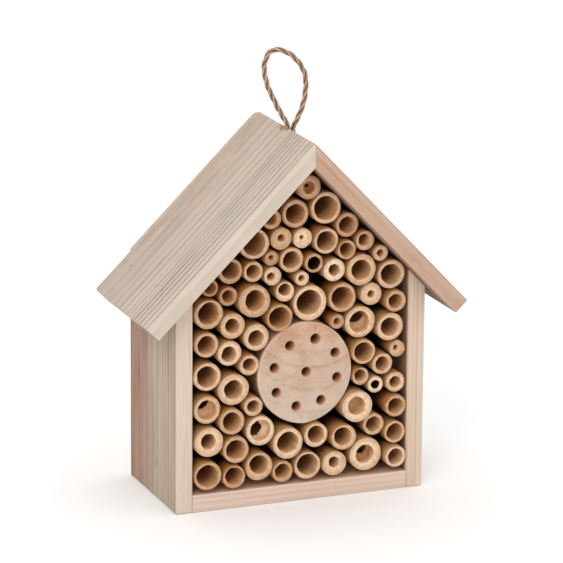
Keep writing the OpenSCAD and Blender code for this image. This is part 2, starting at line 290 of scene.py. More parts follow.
        # the sawn front edge: its own tone, faint streaks of its own
        _, yy, _ = g.split(p)
        ff = g.noise(g.combine(g.math("MULTIPLY", u, 0.02), 0.0, g.math("MULTIPLY", w, 0.8)), 1.0, 3.0, 0.6)
        fc = g.mix(g.map(ff, 0.42, 0.7, 0.0, 0.5), front[0], front[1])
        col = g.mix(g.map(yy, 0.35, 0.9, front[2], 0.0), col, fc)
    col = g.mix(g.map(fib, 0.35, 0.75, 0.0, fibre), col, dark)
    col = g.mix(g.map(fib2, 0.3, 0.6, fibre * 0.7, 0.0), col, light)
    col = g.mix(g.map(blot, 0.35, 0.7, 0.0, 0.25), col, light)
    for kind, lo, hi, y0, y1, dc, dk in inner_painted_shade:
        # painted shade: faces turned to the inside of the box are darkened behind the front edge, where shade falls
        _, yy, _ = g.split(p)
        src = v if kind == "v" else w
        col = g.mix(g.math("MULTIPLY", g.map(src, lo, hi, dk, 0.0), g.map(yy, y0, y1, 0.0, 1.0)), col, dc)
    if knot_mask is not None:
        col = g.mix(g.math("MULTIPLY", knot_mask, 0.45), col, lin(112, 78, 56))
    h = g.math("ADD", g.math("MULTIPLY", ring, -0.6), g.math("MULTIPLY", fib2, 0.5))
    h = g.math("ADD", h, g.math("MULTIPLY", fib, 0.4))
    nrm = g.bump(h, 0.00012, 0.7)
    ro = g.math("ADD", g.math("MULTIPLY", fib, 0.16), rough - 0.08)
    return g.finish(col, ro, nrm, 0.22)


def spread(n, spacing=1.0):
    return [(-0.1, 0.0), (1.1, float(n))]


DL = (-math.cos(PL), 0, -math.sin(PL))       # down the left slope
DR = (math.cos(PR), 0, -math.sin(PR))        # down the right slope
RIDGE = (BOX_X + RIDGE_X, FRONT_Y - OVER, RIDGE_Z)

m_roof_l = pine("pine_roof_left", RIDGE, DL, (0, 1, 0), 106.0,
                [(-0.1, 0.0)] + [(v / 106.0, k + 0.79) for k, v in enumerate((-3.0, 3.0, 9.0, 15.5, 21.0, 26.0, 31.0, 35.6, 40.6, 48.5, 56.0, 65.0, 75.0, 86.0, 98.0))], 15,
                lin(218, 206, 192), lin(112, 97, 84),
                [(0.0, lin(206, 192, 177)), (0.2, lin(205, 191, 176)), (0.45, lin(198, 183, 167)), (0.7, lin(191, 174, 158)), (0.9, lin(189, 169, 152)), (1.0, lin(186, 166, 149))],
                contrast=0.8, seed=1.3, tilt=-0.55, wobble=0.12, fibre=0.2, streaks=0.3, ring_lo=0.85,
                contrast_stops=[(0.0, 0.7), (0.1, 0.75), (0.2, 0.95), (0.3, 1.0), (0.34, 0.9), (0.4, 0.5), (0.5, 0.4), (1.0, 0.36)],
                front=(lin(224, 209, 193), lin(204, 184, 166), 0.55), warm=lin(206, 178, 158),
                patches=((4.0, 47.0, 3.2, lin(228, 188, 160), 0.5),))
m_roof_r = pine("pine_roof_right", RIDGE, DR, (0, 1, 0), 106.0,
                [(-0.1, 0.0), (0.0, 1.6), (0.3, 10.0), (0.7, 17.0), (1.1, 26.0)], 26,
                lin(210, 185, 166), lin(154, 110, 86),
                [(0.0, lin(194, 161, 139)), (0.3, lin(198, 169, 148)), (0.7, lin(192, 167, 146)), (1.0, lin(188, 165, 144))],
                contrast=0.6, seed=4.1, tilt=0.9, wobble=0.5, fibre=0.3,
                # painted shade on the right roof's underside behind its front edge, under the eave
                inner_painted_shade=(("w", -11.4, -11.1, 2.0, 17.0, lin(92, 62, 46), 0.72),))
m_wall_l = pine("pine_wall_left", (BOX_X - HALF, FRONT_Y, 0), (0, 0, 1), (0, 1, 0), 88.0,
                [(-0.1, 0.0)] + [(v / 88.0, k + 0.79) for k, v in enumerate((4.5, 9.6, 15.0, 20.5, 25.5, 31.0, 36.0, 47.0, 59.0, 67.0, 74.0, 81.0, 88.0))], 13,
                lin(206, 190, 170), lin(104, 82, 68),
                [(0.0, lin(186, 166, 146)), (0.2, lin(184, 165, 146)), (0.38, lin(188, 170, 153)), (0.5, lin(186, 167, 153)), (0.58, lin(176, 148, 137)), (0.68, lin(167, 127, 110)),
                 (0.8, lin(158, 113, 92)), (0.92, lin(163, 110, 84)), (1.0, lin(152, 101, 78))],
                contrast=0.6, seed=8.2, tilt=0.35, wobble=0.3, fibre=0.3, knots=((25.0, 38.0, 3.2),), streaks=0.6, ring_lo=0.55,
                contrast_stops=[(0.0, 0.8), (0.3, 0.75), (0.45, 0.5), (0.6, 0.9), (1.0, 0.9)],
                front=(lin(225, 209, 192), lin(196, 166, 144), 0.92))
m_wall_r = pine("pine_wall_right", (BOX_X + INNER, FRONT_Y, 0), (0, 0, 1), (1, 0, 0), 12.0,
                [(-0.1, 0.0), (0.0, 0.4), (0.35, 1.9), (0.62, 3.0), (1.1, 4.6)], 5,
                lin(230, 218, 200), lin(176, 132, 104),
                [(0.0, lin(221, 202, 181)), (0.2, lin(217, 198, 177)), (0.4, lin(211, 189, 167)), (0.52, lin(216, 190, 168)), (0.64, lin(217, 195, 174)), (0.76, lin(215, 200, 183)), (1.0, lin(214, 204, 190))],
                contrast=0.5, seed=2.6, tilt=0.22, wobble=0.12, fibre=0.2,
                # painted shade on the right wall's inner face behind its front edge
                inner_painted_shade=(("v", 0.05, 0.4, 0.8, 4.0, lin(122, 76, 48), 0.75),))
m_base = pine("pine_base", (BOX_X - INNER, FRONT_Y, 0), (1, 0, 0), (0, 0, 1), 12.0,
              [(-0.1, 0.0), (0.0, 0.4), (0.5, 1.8), (1.1, 3.6)], 4,
              lin(228, 208, 192), lin(184, 144, 124),
              [(0.0, lin(212, 192, 178)), (0.25, lin(214, 191, 175)), (0.5, lin(216, 193, 176)), (0.8, lin(216, 195, 180)), (1.0, lin(220, 198, 182))],
              contrast=0.45, seed=5.5, tilt=0.2, wobble=0.25, fibre=0.25,
              # painted shade on the base's top face inside the box, behind its front edge
              inner_painted_shade=(("v", 11.95, 11.6, 0.6, 2.5, lin(206, 150, 118), 0.6),))


def ply():
    g = G("back_board")
    p = g.pos()
    x, y, z = g.split(p)
    fib = g.noise(g.combine(g.math("MULTIPLY", x, 0.8), g.math("MULTIPLY", y, 6.0), g.math("MULTIPLY", z, 0.03)), 1.0, 4.0, 0.6)
    big = g.noise(g.combine(g.math("MULTIPLY", x, 0.05), 0.3, g.math("MULTIPLY", z, 0.012)), 1.0, 3.0, 0.5)
    fr = g.math("FRACT", g.math("MULTIPLY", g.math("ADD", x, g.math("MULTIPLY", big, 40.0)), 0.11))
    ring = g.split(g.ramp(fr, [(0, (0.1,) * 3), (0.6, (0.3,) * 3), (0.85, (1,) * 3), (1, (0.1,) * 3)]))[0]
    col = g.mix(g.math("MULTIPLY", ring, 0.34), lin(202, 184, 162), lin(170, 146, 120))
    col = g.mix(g.map(fib, 0.35, 0.7, 0.0, 0.3), col, lin(150, 126, 102))
    # the upright edges of the sheet are stained darker than its face
    side = g.math("ABSOLUTE", g.math("SUBTRACT", x, BOX_X))
    col = g.mix(g.math("MULTIPLY", g.map(side, HALF - 0.3, HALF - 0.05, 0.0, 0.8), g.map(z, 130.0, 165.0, 1.0, 0.0)), col, lin(128, 92, 66))
    return g.finish(col, 0.8, g.bump(g.math("ADD", fib, g.math("MULTIPLY", ring, -0.4)), 0.00012, 0.6), 0.2)


def log_material():
    g = G("log_end_grain")
    p = g.pos()
    x, y, z = g.split(p)
    wob = g.noise(g.combine(g.math("MULTIPLY", x, 0.06), 0.0, g.math("MULTIPLY", z, 0.06)), 1.0, 3.0, 0.6)
    dx = g.math("SUBTRACT", x, BOX_X + 11.0)
    # growth rings: shallow bowls, each with a place and a strength of its own
    r = g.math("SUBTRACT", z, g.math("MULTIPLY", g.math("MULTIPLY", dx, dx), 0.0115))
    r = g.math("ADD", r, g.math("MULTIPLY", g.math("SUBTRACT", wob, 0.5), 5.0))
    stops = []
    for c, k in ((61.5, 0.4), (69.0, 0.3), (77.0, 0.75), (85.0, 0.25), (93.0, 1.0), (103.0, 0.45), (113.5, 0.35)):
        stops += [(c - 2.4, 0.06 * k), (c - 0.5, k), (c + 0.2, 0.8 * k), (c + 1.3, 0.0)]
    line = g.split(g.ramp(g.map(r, 50.0, 125.0, 0.0, 1.0), [((c - 50.0) / 75.0, (k,) * 3) for c, k in stops]))[0]
    broken = g.noise(g.combine(g.math("MULTIPLY", x, 0.12), 0.0, g.math("MULTIPLY", z, 0.5)), 1.0, 3.0, 0.65)
    line = g.math("MULTIPLY", line, g.map(broken, 0.35, 0.62, 0.25, 1.0))
    fine_r = g.math("FRACT", g.math("DIVIDE", r, 1.7))
    fine_l = g.math("MULTIPLY", g.math("ABSOLUTE", g.math("SUBTRACT", fine_r, 0.5)), 2.0)
    speck = g.noise(p, 1.6, 3.0, 0.7)
    coarse = g.noise(p, 0.55, 4.0, 0.72)
    blot = g.noise(p, 0.06, 4.0, 0.6)
    # radial rays
    ang = g.math("MULTIPLY", g.math("ARCTAN2", dx, g.math("SUBTRACT", z, LOG_Z + 50.0)), 60.0)
    ray = g.noise(g.combine(ang, g.math("MULTIPLY", r, 0.08), 0.0), 1.0, 3.0, 0.6)
    hgt = g.map(z, 53.0, 126.0, 0.0, 1.0)
    high = g.map(z, 92.0, 118.0, 0.0, 1.0)
    base = g.ramp(hgt, [(0.0, lin(206, 187, 168)), (0.3, lin(198, 174, 155)), (0.62, lin(196, 168, 147)), (0.8, lin(196, 160, 136)), (1.0, lin(196, 146, 114))])
    col = g.mix(g.math("MULTIPLY", line, 0.6), base, lin(158, 116, 92))
    col = g.mix(g.math("MULTIPLY", fine_l, 0.08), col, lin(184, 146, 120))
    col = g.mix(g.math("MULTIPLY", g.map(coarse, 0.5, 0.66, 0.0, 0.8), g.math("ADD", 0.3, g.math("MULTIPLY", high, 0.7))), col, lin(166, 118, 90))
    col = g.mix(g.map(speck, 0.5, 0.75, 0.0, 0.35), col, lin(176, 132, 106))
    col = g.mix(g.map(speck, 0.28, 0.44, 0.4, 0.0), col, lin(234, 214, 194))
    col = g.mix(g.map(ray, 0.55, 0.8, 0.0, 0.22), col, lin(174, 134, 108))
    col = g.mix(g.map(blot, 0.4, 0.68, 0.0, 0.42), col, lin(224, 204, 184))
    col = g.mix(g.map(blot, 0.3, 0.44, 0.3, 0.0), col, lin(186, 146, 122))
    # small reddish pith fleck near the lower edge
    px = g.math("SUBTRACT", x, BOX_X + 0.8)
    pz = g.math("SUBTRACT", z, 58.7)
    pq = g.math("EXPONENT", g.math("MULTIPLY", g.math("ADD", g.math("MULTIPLY", px, px), g.math("MULTIPLY", pz, pz)), -0.9))
    col = g.mix(g.math("MULTIPLY", pq, 0.6), col, lin(186, 110, 92))
    # outer rim: pale sapwood line; behind the face the log's side is darker inner bark
    qx = g.math("DIVIDE", g.math("SUBTRACT", x, BOX_X + LOG_X), 34.25)
    qz = g.math("DIVIDE", g.math("SUBTRACT", z, LOG_Z), 36.2)
    rim = g.math("SQRT", g.math("ADD", g.math("MULTIPLY", qx, qx), g.math("MULTIPLY", qz, qz)))
    col = g.mix(g.map(rim, 0.94, 0.985, 0.0, 0.5), col, lin(232, 214, 192))
    depth = g.math("SUBTRACT", y, FRONT_Y + LOG_SET)
    side = g.math("MULTIPLY", g.map(rim, 0.975, 0.99, 0.0, 1.0), g.map(depth, 0.8, 3.0, 0.0, 1.0))
    sf = g.noise(g.combine(g.math("MULTIPLY", g.math("ARCTAN2", qx, qz), 30.0), g.math("MULTIPLY", y, 0.06), 0.0), 1.0, 4.0, 0.6)
    col = g.mix(side, col, g.ramp(sf, [(0.3, lin(120, 84, 58)), (0.7, lin(170, 126, 88))]))
    warm = g.map(depth, 0.3, 1.6, 0.0, 0.8)
    col = g.mix(g.math("MULTIPLY", warm, g.map(rim, 0.93, 0.95, 1.0, 0.0)), col, lin(214, 148, 108))
    # painted shade: the walls of the holes darken to nearly black deeper in
    inner = g.map(depth, 2.0, 15.0, 0.0, 0.93)
    col = g.mix(g.math("MULTIPLY", inner, g.map(rim, 0.93, 0.95, 1.0, 0.0)), col, lin(66, 34, 17))
    h = g.math("ADD", g.math("MULTIPLY", speck, 0.8), g.math("MULTIPLY", line, -0.6))
    h = g.math("ADD", h, g.math("MULTIPLY", ray, 0.4))
    return g.finish(col, g.map(speck, 0.3, 0.7, 0.72, 0.88), g.bump(h, 0.00016, 0.7), 0.2)


def bamboo_end():
    """Sawn end: dense pale wall with darker vessels, tightest under the skin. Attribute loc.x is 0 at the bore and 1
    at the skin, tone sets a tube's colour from tan (0) to nearly white (1), own holds the tube's own coordinates."""
    g = G("bamboo_end")
    a = g.attr("loc").outputs["Vector"]
    rad, ang, _ = g.split(a)
    own = g.attr("own").outputs["Vector"]
    tone = g.attr("tone").outputs["Fac"]
    base = g.ramp(tone, [(0.0, lin(174, 130, 90)), (0.5, lin(200, 160, 124)), (1.0, lin(230, 198, 166))])
    # radial profile of the end face: darker right at the bore's edge, a painted highlight on the bore's lip (0.05-0.14)
    # within the lighter inner band, a darker band in the wall at 0.72-0.92, and painted shadow at the skin's edge (1.0)
    # standing in for the contact shadow between tubes
    prof = g.ramp(rad, [(0.0, (0.72,) * 3), (0.05, (1.14,) * 3), (0.14, (1.2,) * 3), (0.32, (1.08,) * 3), (0.6, (1.05,) * 3), (0.72, (0.84,) * 3), (0.8, (0.88,) * 3), (0.86, (1.02,) * 3), (0.92, (0.84,) * 3), (1.0, (0.38,) * 3)])
    col = g.mix(1.0, base, prof, "MULTIPLY")
    vess = g.voro(own, 1.5, "F1", 0.9)
    dens = g.map(rad, 0.05, 0.95, 0.15, 0.9)
    dots = g.math("MULTIPLY", g.map(vess, 0.12, 0.36, 1.0, 0.0), dens)
    col = g.mix(g.math("MULTIPLY", dots, 0.34), col, lin(146, 104, 66))
    big = g.noise(own, 0.34, 4.0, 0.7)
    col = g.mix(g.map(big, 0.46, 0.7, 0.0, 0.5), col, lin(160, 114, 74))
    col = g.mix(g.map(big, 0.3, 0.46, 0.3, 0.0), col, lin(236, 214, 186))
    dirt = g.noise(own, 0.8, 3.0, 0.7)
    col = g.mix(g.math("MULTIPLY", g.map(dirt, 0.54, 0.72, 0.0, 0.5), g.map(rad, 0.5, 1.0, 0.0, 1.0)), col, lin(138, 92, 52))
    saw = g.noise(g.vmath("MULTIPLY", own, (0.35, 1.0, 3.2)), 1.0, 3.0, 0.65)
    col = g.mix(g.map(saw, 0.45, 0.8, 0.0, 0.2), col, lin(240, 224, 200))
    hot = g.noise(own, 0.9, 2.0, 0.5)
    col = g.mix(g.math("MULTIPLY", g.map(hot, 0.58, 0.74, 0.0, 0.5), g.map(rad, 0.45, 0.9, 0.0, 1.0)), col, lin(168, 106, 56))
    h = g.math("ADD", g.math("MULTIPLY", saw, 0.8), g.math("MULTIPLY", dots, -0.7))
    h = g.math("ADD", h, g.math("MULTIPLY", dirt, -0.8))
    return g.finish(col, 0.74, g.bump(h, 0.00014, 0.8), 0.28)


def bamboo_rind():
    """Outer skin: golden tan, long fibres, waxy; a painted highlight just behind the mouth, a thin painted shadow at
    the mouth, and painted shade darkening it to near black further in between the tubes.
    """
    g = G("bamboo_rind")
    a = g.attr("loc").outputs["Vector"]
    _, ang, dep = g.split(a)
    own = g.attr("own").outputs["Vector"]
    tone = g.attr("tone").outputs["Fac"]
    fib = g.noise(g.vmath("MULTIPLY", own, (1.5, 0.03, 1.5)), 1.0, 4.0, 0.65)
    blot = g.noise(g.vmath("MULTIPLY", own, (0.16, 0.05, 0.16)), 1.0, 3.0, 0.55)
    base = g.ramp(tone, [(0.0, lin(190, 122, 60)), (0.5, lin(202, 146, 84)), (1.0, lin(212, 172, 122))])
    col = g.mix(g.map(fib, 0.35, 0.7, 0.0, 0.45), base, lin(150, 96, 48))
    col = g.mix(g.map(blot, 0.45, 0.72, 0.0, 0.55), col, lin(166, 100, 42))
    # painted highlight: the skin is lighter for the first few mm behind the mouth, where light reaches it
    col = g.mix(g.map(dep, 0.7, 3.5, 0.4, 0.0), col, lin(224, 180, 118))
    # painted shadow: a thin dark line on the skin right at the mouth, standing in for the contact shadow between tubes
    col = g.mix(g.map(dep, 0.3, 0.9, 0.6, 0.0), col, lin(112, 72, 38))
    # painted shade: the skin darkens to near black further in, in the gaps between the tubes
    painted_gap_shade = g.split(g.ramp(g.map(dep, 0.0, 22.0, 0.0, 1.0), [(0.0, (0.0,) * 3), (0.2, (0.0,) * 3), (0.42, (0.36,) * 3), (0.75, (0.82,) * 3), (1.0, (0.94,) * 3)]))[0]
    col = g.mix(painted_gap_shade, col, lin(48, 25, 12))
    return g.finish(col, g.map(blot, 0.3, 0.7, 0.42, 0.6), g.bump(fib, 0.0001, 0.5), 0.4)


def bamboo_bore():
    """Inside of the tube: pale at the mouth; painted shade makes it browner and then nearly black further in."""
    g = G("bamboo_bore")
    a = g.attr("loc").outputs["Vector"]
    _, ang, dep = g.split(a)
    own = g.attr("own").outputs["Vector"]
    tone = g.attr("tone").outputs["Fac"]
    fib = g.noise(g.vmath("MULTIPLY", own, (1.3, 0.05, 1.3)), 1.0, 4.0, 0.6)
    blot = g.noise(g.vmath("MULTIPLY", own, (0.3, 0.12, 0.3)), 1.0, 3.0, 0.55)
    base = g.ramp(tone, [(0.0, lin(222, 172, 120)), (0.5, lin(228, 186, 140)), (1.0, lin(234, 200, 160))])
    col = g.mix(g.map(fib, 0.38, 0.72, 0.0, 0.45), base, lin(164, 112, 68))
    col = g.mix(g.map(blot, 0.42, 0.7, 0.0, 0.4), col, lin(184, 128, 76))
    # painted shade: the bore darkens with depth, nearly black past 62 mm
    col = g.mix(g.map(dep, 1.5, 18.0, 0.0, 0.6), col, lin(162, 112, 64))
    col = g.mix(g.map(dep, 14.0, 55.0, 0.0, 0.6), col, lin(88, 56, 30))
    col = g.mix(g.map(dep, 62.0, 84.0, 0.0, 0.9), col, lin(20, 12, 8))
    return g.finish(col, 0.7, g.bump(fib, 0.00012, 0.6), 0.25)


def bamboo_wall():
    """Papery partition inside a tube."""
    g = G("bamboo_partition")
    own = g.attr("own").outputs["Vector"]
    tone = g.attr("tone").outputs["Fac"]
    n1 = g.noise(own, 0.45, 4.0, 0.65)
    n2 = g.noise(own, 1.8, 3.0, 0.6)
    base = g.ramp(tone, [(0.0, lin(186, 122, 58)), (0.5, lin(212, 166, 112)), (1.0, lin(232, 206, 170))])
    col = g.mix(g.map(n1, 0.4, 0.7, 0.0, 0.55), base, lin(160, 100, 48))
    col = g.mix(g.map(n2, 0.45, 0.75, 0.0, 0.3), col, lin(236, 212, 178))
    return g.finish(col, 0.82, g.bump(g.math("ADD", n1, g.math("MULTIPLY", n2, 0.5)), 0.0003, 0.9), 0.2)


def jute():
    g = G("jute_cord")
    a = g.attr("loc").outputs["Vector"]
    s, ang, strand = g.split(a)
    p = g.pos()
    f1 = g.noise(g.combine(g.math("MULTIPLY", ang, 2.2), g.math("MULTIPLY", s, 0.3), g.math("MULTIPLY", strand, 9.0)), 1.0, 3.0, 0.65)
    f2 = g.noise(p, 1.3, 3.0, 0.6)
    f3 = g.noise(p, 0.12, 2.0, 0.5)
    crest = g.attr("crest").outputs["Fac"]
    # painted shade in the grooves between strands and painted highlight on their crests, by distance from the cord's
    # axis
    body = g.ramp(crest, [(0.0, lin(58, 38, 26)), (0.58, lin(78, 54, 38)), (0.7, lin(140, 106, 80)), (0.84, lin(178, 142, 112)), (0.95, lin(206, 172, 142)), (1.0, lin(216, 188, 160))])
    col = g.mix(g.map(f1, 0.44, 0.62, 0.0, 0.8), body, lin(92, 66, 48))
    col = g.mix(g.map(f1, 0.3, 0.44, 0.75, 0.0), col, lin(226, 204, 180))
    col = g.mix(g.map(f2, 0.52, 0.72, 0.0, 0.3), col, lin(112, 82, 60))
    col = g.mix(g.map(f3, 0.4, 0.7, 0.0, 0.3), col, lin(198, 152, 112))
    g.b.inputs["Sheen Weight"].default_value = 0.25
    g.b.inputs["Sheen Roughness"].default_value = 0.6
    return g.finish(col, 0.9, g.bump(f1, 0.0002, 1.0), 0.15)


def steel():
    g = G("nail_steel")
    p = g.pos()
    n1 = g.noise(p, 2.0, 3.0, 0.6)
    col = g.ramp(n1, [(0.3, lin(92, 86, 78)), (0.55, lin(138, 134, 128)), (0.75, lin(120, 92, 66))])
    g.b.inputs["Metallic"].default_value = 0.85
    return g.finish(col, g.map(n1, 0.3, 0.7, 0.35, 0.6), g.bump(n1, 0.00006, 0.5), 0.5)


def brad_metal():
    """Small nails punched below the surface and rubbed over with wood dust."""
    g = G("brad_metal")
    p = g.pos()
    n1 = g.noise(p, 2.4, 3.0, 0.6)
    col = g.ramp(n1, [(0.3, lin(168, 154, 138)), (0.55, lin(192, 178, 162)), (0.75, lin(176, 160, 142))])
    g.b.inputs["Metallic"].default_value = 0.15
    return g.finish(col, g.map(n1, 0.3, 0.7, 0.6, 0.8), g.bump(n1, 0.00005, 0.5), 0.3)


m_ply, m_log = ply(), log_material()
m_end, m_rind, m_bore, m_part = bamboo_end(), bamboo_rind(), bamboo_bore(), bamboo_wall()
m_jute, m_steel, m_brad = jute(), steel(), brad_metal()


# ---------------------------------------------------------------- mesh helpers
def link(name, me, mats):
    for m in mats:
        me.materials.append(m)
    ob = bpy.data.objects.new(name, me)
    sc.collection.objects.link(ob)
    return ob


def done(ob, node, body="hotel"):
    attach(ob, body)
    if node:
        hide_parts(*([node] if isinstance(node, str) else node))
    return ob


def smooth(me, angle=35):
    me.polygons.foreach_set("use_smooth", [True] * len(me.polygons))
    me.set_sharp_from_angle(angle=math.radians(angle))


def prism(name, outline, y0, y1):
    """Outline in the front's plane (mm, from the box's centre line), between two depths from the walls' front edges."""
    me = bpy.data.meshes.new(name)
    bm = bmesh.new()
    a = [bm.verts.new(((BOX_X + x) * MM, (FRONT_Y + y0) * MM, z * MM)) for x, z in outline]
    b = [bm.verts.new(((BOX_X + x) * MM, (FRONT_Y + y1) * MM, z * MM)) for x, z in outline]
    n = len(outline)
    bm.faces.new(a)
    bm.faces.new(b[::-1])
    for i in range(n):
        j = (i + 1) % n
        bm.faces.new((a[j], a[i], b[i], b[j]))
    bmesh.ops.recalc_face_normals(bm, faces=bm.faces)
    bm.to_mesh(me)
    bm.free()
    return me


def cylinder_mesh(name, centre, axis, r, length, seg=48):
    """Closed cylinder starting at centre and running along axis, in mm."""
    me = bpy.data.meshes.new(name)
    bm = bmesh.new()
    q = Vector(axis).normalized().to_track_quat("Z", "Y").to_matrix().to_4x4()
    q.translation = (Vector(centre) + Vector(axis).normalized() * length / 2) * MM
    bmesh.ops.create_cone(bm, cap_ends=True, segments=seg, radius1=r * MM, radius2=r * MM, depth=length * MM, matrix=q)
    bm.to_mesh(me)
    bm.free()
    return me


def baked(ob):
    """The mesh with the object's modifiers applied."""
    dg = bpy.context.evaluated_depsgraph_get()
    me = bpy.data.meshes.new_from_object(ob.evaluated_get(dg), depsgraph=dg)
    old = ob.data
    ob.modifiers.clear()
    ob.data = me
    bpy.data.meshes.remove(old)
    return ob


def cut(ob, cutters):
    for i, me in enumerate(cutters):
        c = bpy.data.objects.new("cutter", me)
        sc.collection.objects.link(c)
        m = ob.modifiers.new("cut", "BOOLEAN")
        m.object, m.operation, m.solver = c, "DIFFERENCE", "EXACT"
        bpy.context.view_layer.update()
        baked(ob)
        bpy.data.objects.remove(c)
        bpy.data.meshes.remove(me)
    return ob


def ease(ob, width, fine=None, fine_width=0.25, round_=None, round_width=3.0, angle=30):
    """Round the edges of a board: width everywhere, a smaller one where fine(a, b) says so, a larger one where round_ does."""
    me = ob.data
    bm = bmesh.new()
    bm.from_mesh(me)
    bmesh.ops.dissolve_limit(bm, angle_limit=math.radians(1), verts=bm.verts, edges=bm.edges)
    lay = bm.edges.layers.float.get("bevel_weight_edge") or bm.edges.layers.float.new("bevel_weight_edge")
    groups = {}
    for e in bm.edges:
        if len(e.link_faces) != 2 or e.calc_face_angle(0) < math.radians(angle):
            continue
        a, b = e.verts[0].co / MM, e.verts[1].co / MM
        w = width
        if fine and fine(a, b):
            w = fine_width
        if round_ and round_(a, b):
            w = round_width
        groups.setdefault(w, []).append(e)
    if round_ and round_width in groups:
        bmesh.ops.bevel(bm, geom=groups.pop(round_width), offset=round_width * MM, offset_type="OFFSET", segments=5, profile=0.5, affect="EDGES", clamp_overlap=True)
        groups = {}
        for e in bm.edges:
            if len(e.link_faces) != 2 or e.calc_face_angle(0) < math.radians(angle):
                continue
            a, b = e.verts[0].co / MM, e.verts[1].co / MM
            groups.setdefault(fine_width if fine and fine(a, b) else width, []).append(e)
    top = max(groups)
    for w, es in groups.items():
        for e in es:
            e[lay] = w / top
    bm.to_mesh(me)
    bm.free()
    m = ob.modifiers.new("ease", "BEVEL")
    m.width, m.segments, m.limit_method, m.profile = top * MM, 3, "WEIGHT", 0.5
    m.use_clamp_overlap = True
    bpy.context.view_layer.update()
    baked(ob)
    smooth(ob.data, 32)
    return ob


# ---------------------------------------------------------------- cord first
def route_points(n=6):
    P = [Vector((a, b)) for a, b in ROUTE]
    P = [2 * P[0] - P[1]] + P + [2 * P[-1] - P[-2]]
    out = []
    for i in range(1, len(P) - 2):
        a, b, c, d = P[i - 1:i + 3]
        for k in range(n):
            t = k / n
            out.append(0.5 * ((2 * b) + (c - a) * t + (2 * a - 5 * b + 4 * c - d) * t * t + (3 * b - a - 3 * c + d) * t ** 3))
    out.append(P[-2])
    t = math.radians(LOOP_TURN)
    return [Vector((BOX_X + HOLE_X + math.cos(t) * p[0], FRONT_Y + HOLE_Y + math.sin(t) * p[0], p[1])) for p in out]


def resample(P, step):
    L = [0.0]
    for a, b in zip(P, P[1:]):
        L.append(L[-1] + (b - a).length)
    n = max(2, int(round(L[-1] / step)))
    out, j = [], 0
    for k in range(n + 1):
        s = L[-1] * k / n
        while j < len(P) - 2 and L[j + 1] < s:
            j += 1
        f = (s - L[j]) / max(1e-9, L[j + 1] - L[j])
        out.append(P[j].lerp(P[j + 1], min(1, max(0, f))))
    return out, L[-1]


def frames(P):
    T = []
    for i in range(len(P)):
        a, b = P[max(0, i - 1)], P[min(len(P) - 1, i + 1)]
        T.append((b - a).normalized())
    n = T[0].orthogonal().normalized()
    F = []
    for i, t in enumerate(T):
        n = (n - t * n.dot(t)).normalized()
        F.append((t, n, t.cross(n)))
    return F


def twisted(name, P, radius, pitch, step=0.5, sides=9, seed=1, phase=0.0, cap=0.0):
    """Three strands laid round each other along P (mm). With cap, both ends run on by that length and close like a
    ball about the end of P, so that the cord can tip there."""
    rnd = random.Random(seed)
    if cap:
        P = [P[0] + (P[0] - P[1]).normalized() * cap] + P + [P[-1] + (P[-1] - P[-2]).normalized() * cap]
    P, length = resample(P, step)
    F = frames(P)
    rs = radius / (1 + 2 / math.sqrt(3))
    rh = radius - rs
    ball = lambda s: math.sqrt(max(0.03, 1 - (max(0.0, cap - s, cap - (length - s)) / (radius * 1.03)) ** 2))
    verts, faces, loc, crest = [], [], [], []
    for k in range(3):
        base = len(verts)
        wob = rnd.uniform(0, 9)
        C = []
        for i, (p, (t, n, b)) in enumerate(zip(P, F)):
            s = i * length / (len(P) - 1)
            a = phase + 2 * math.pi * (s / pitch + k / 3)
            C.append(p + (n * math.cos(a) + b * math.sin(a)) * rh * ball(s))
        FS = frames(C)
        for i, (c, (t, n, b)) in enumerate(zip(C, FS)):
            s = i * length / (len(P) - 1)
            for j in range(sides):
                a = 2 * math.pi * j / sides + s * 0.9
                e = 1 + 0.09 * noise.noise(Vector((math.cos(a) * 1.5 + wob, math.sin(a) * 1.5, s * 0.7))) - 0.04
                verts.append((c + (n * math.cos(a) + b * math.sin(a)) * rs * 1.06 * e * ball(s)) * MM)
                loc.append((s, a - s * 0.9, k + 1.0))
                # crest: distance from the cord's axis, which the jute material turns into painted groove shade and
                # crest highlight
                crest.append(min(1.0, (Vector(verts[-1]) / MM - P[i]).length / radius))
        m = len(C)
        for i in range(m - 1):
            for j in range(sides):
                q, r = base + i * sides, base + (i + 1) * sides
                faces.append((q + j, q + (j + 1) % sides, r + (j + 1) % sides, r + j))
        faces.append([base + j for j in range(sides)][::-1])
        faces.append([base + (m - 1) * sides + j for j in range(sides)])
    me = bpy.data.meshes.new(name)
    me.from_pydata(verts, [], faces)
    at = me.attributes.new("loc", "FLOAT_VECTOR", "POINT")
    at.data.foreach_set("vector", [c for v in loc for c in v])
    me.attributes.new("crest", "FLOAT", "POINT").data.foreach_set("value", crest)
    smooth(me, 60)
    return me, length, P, F


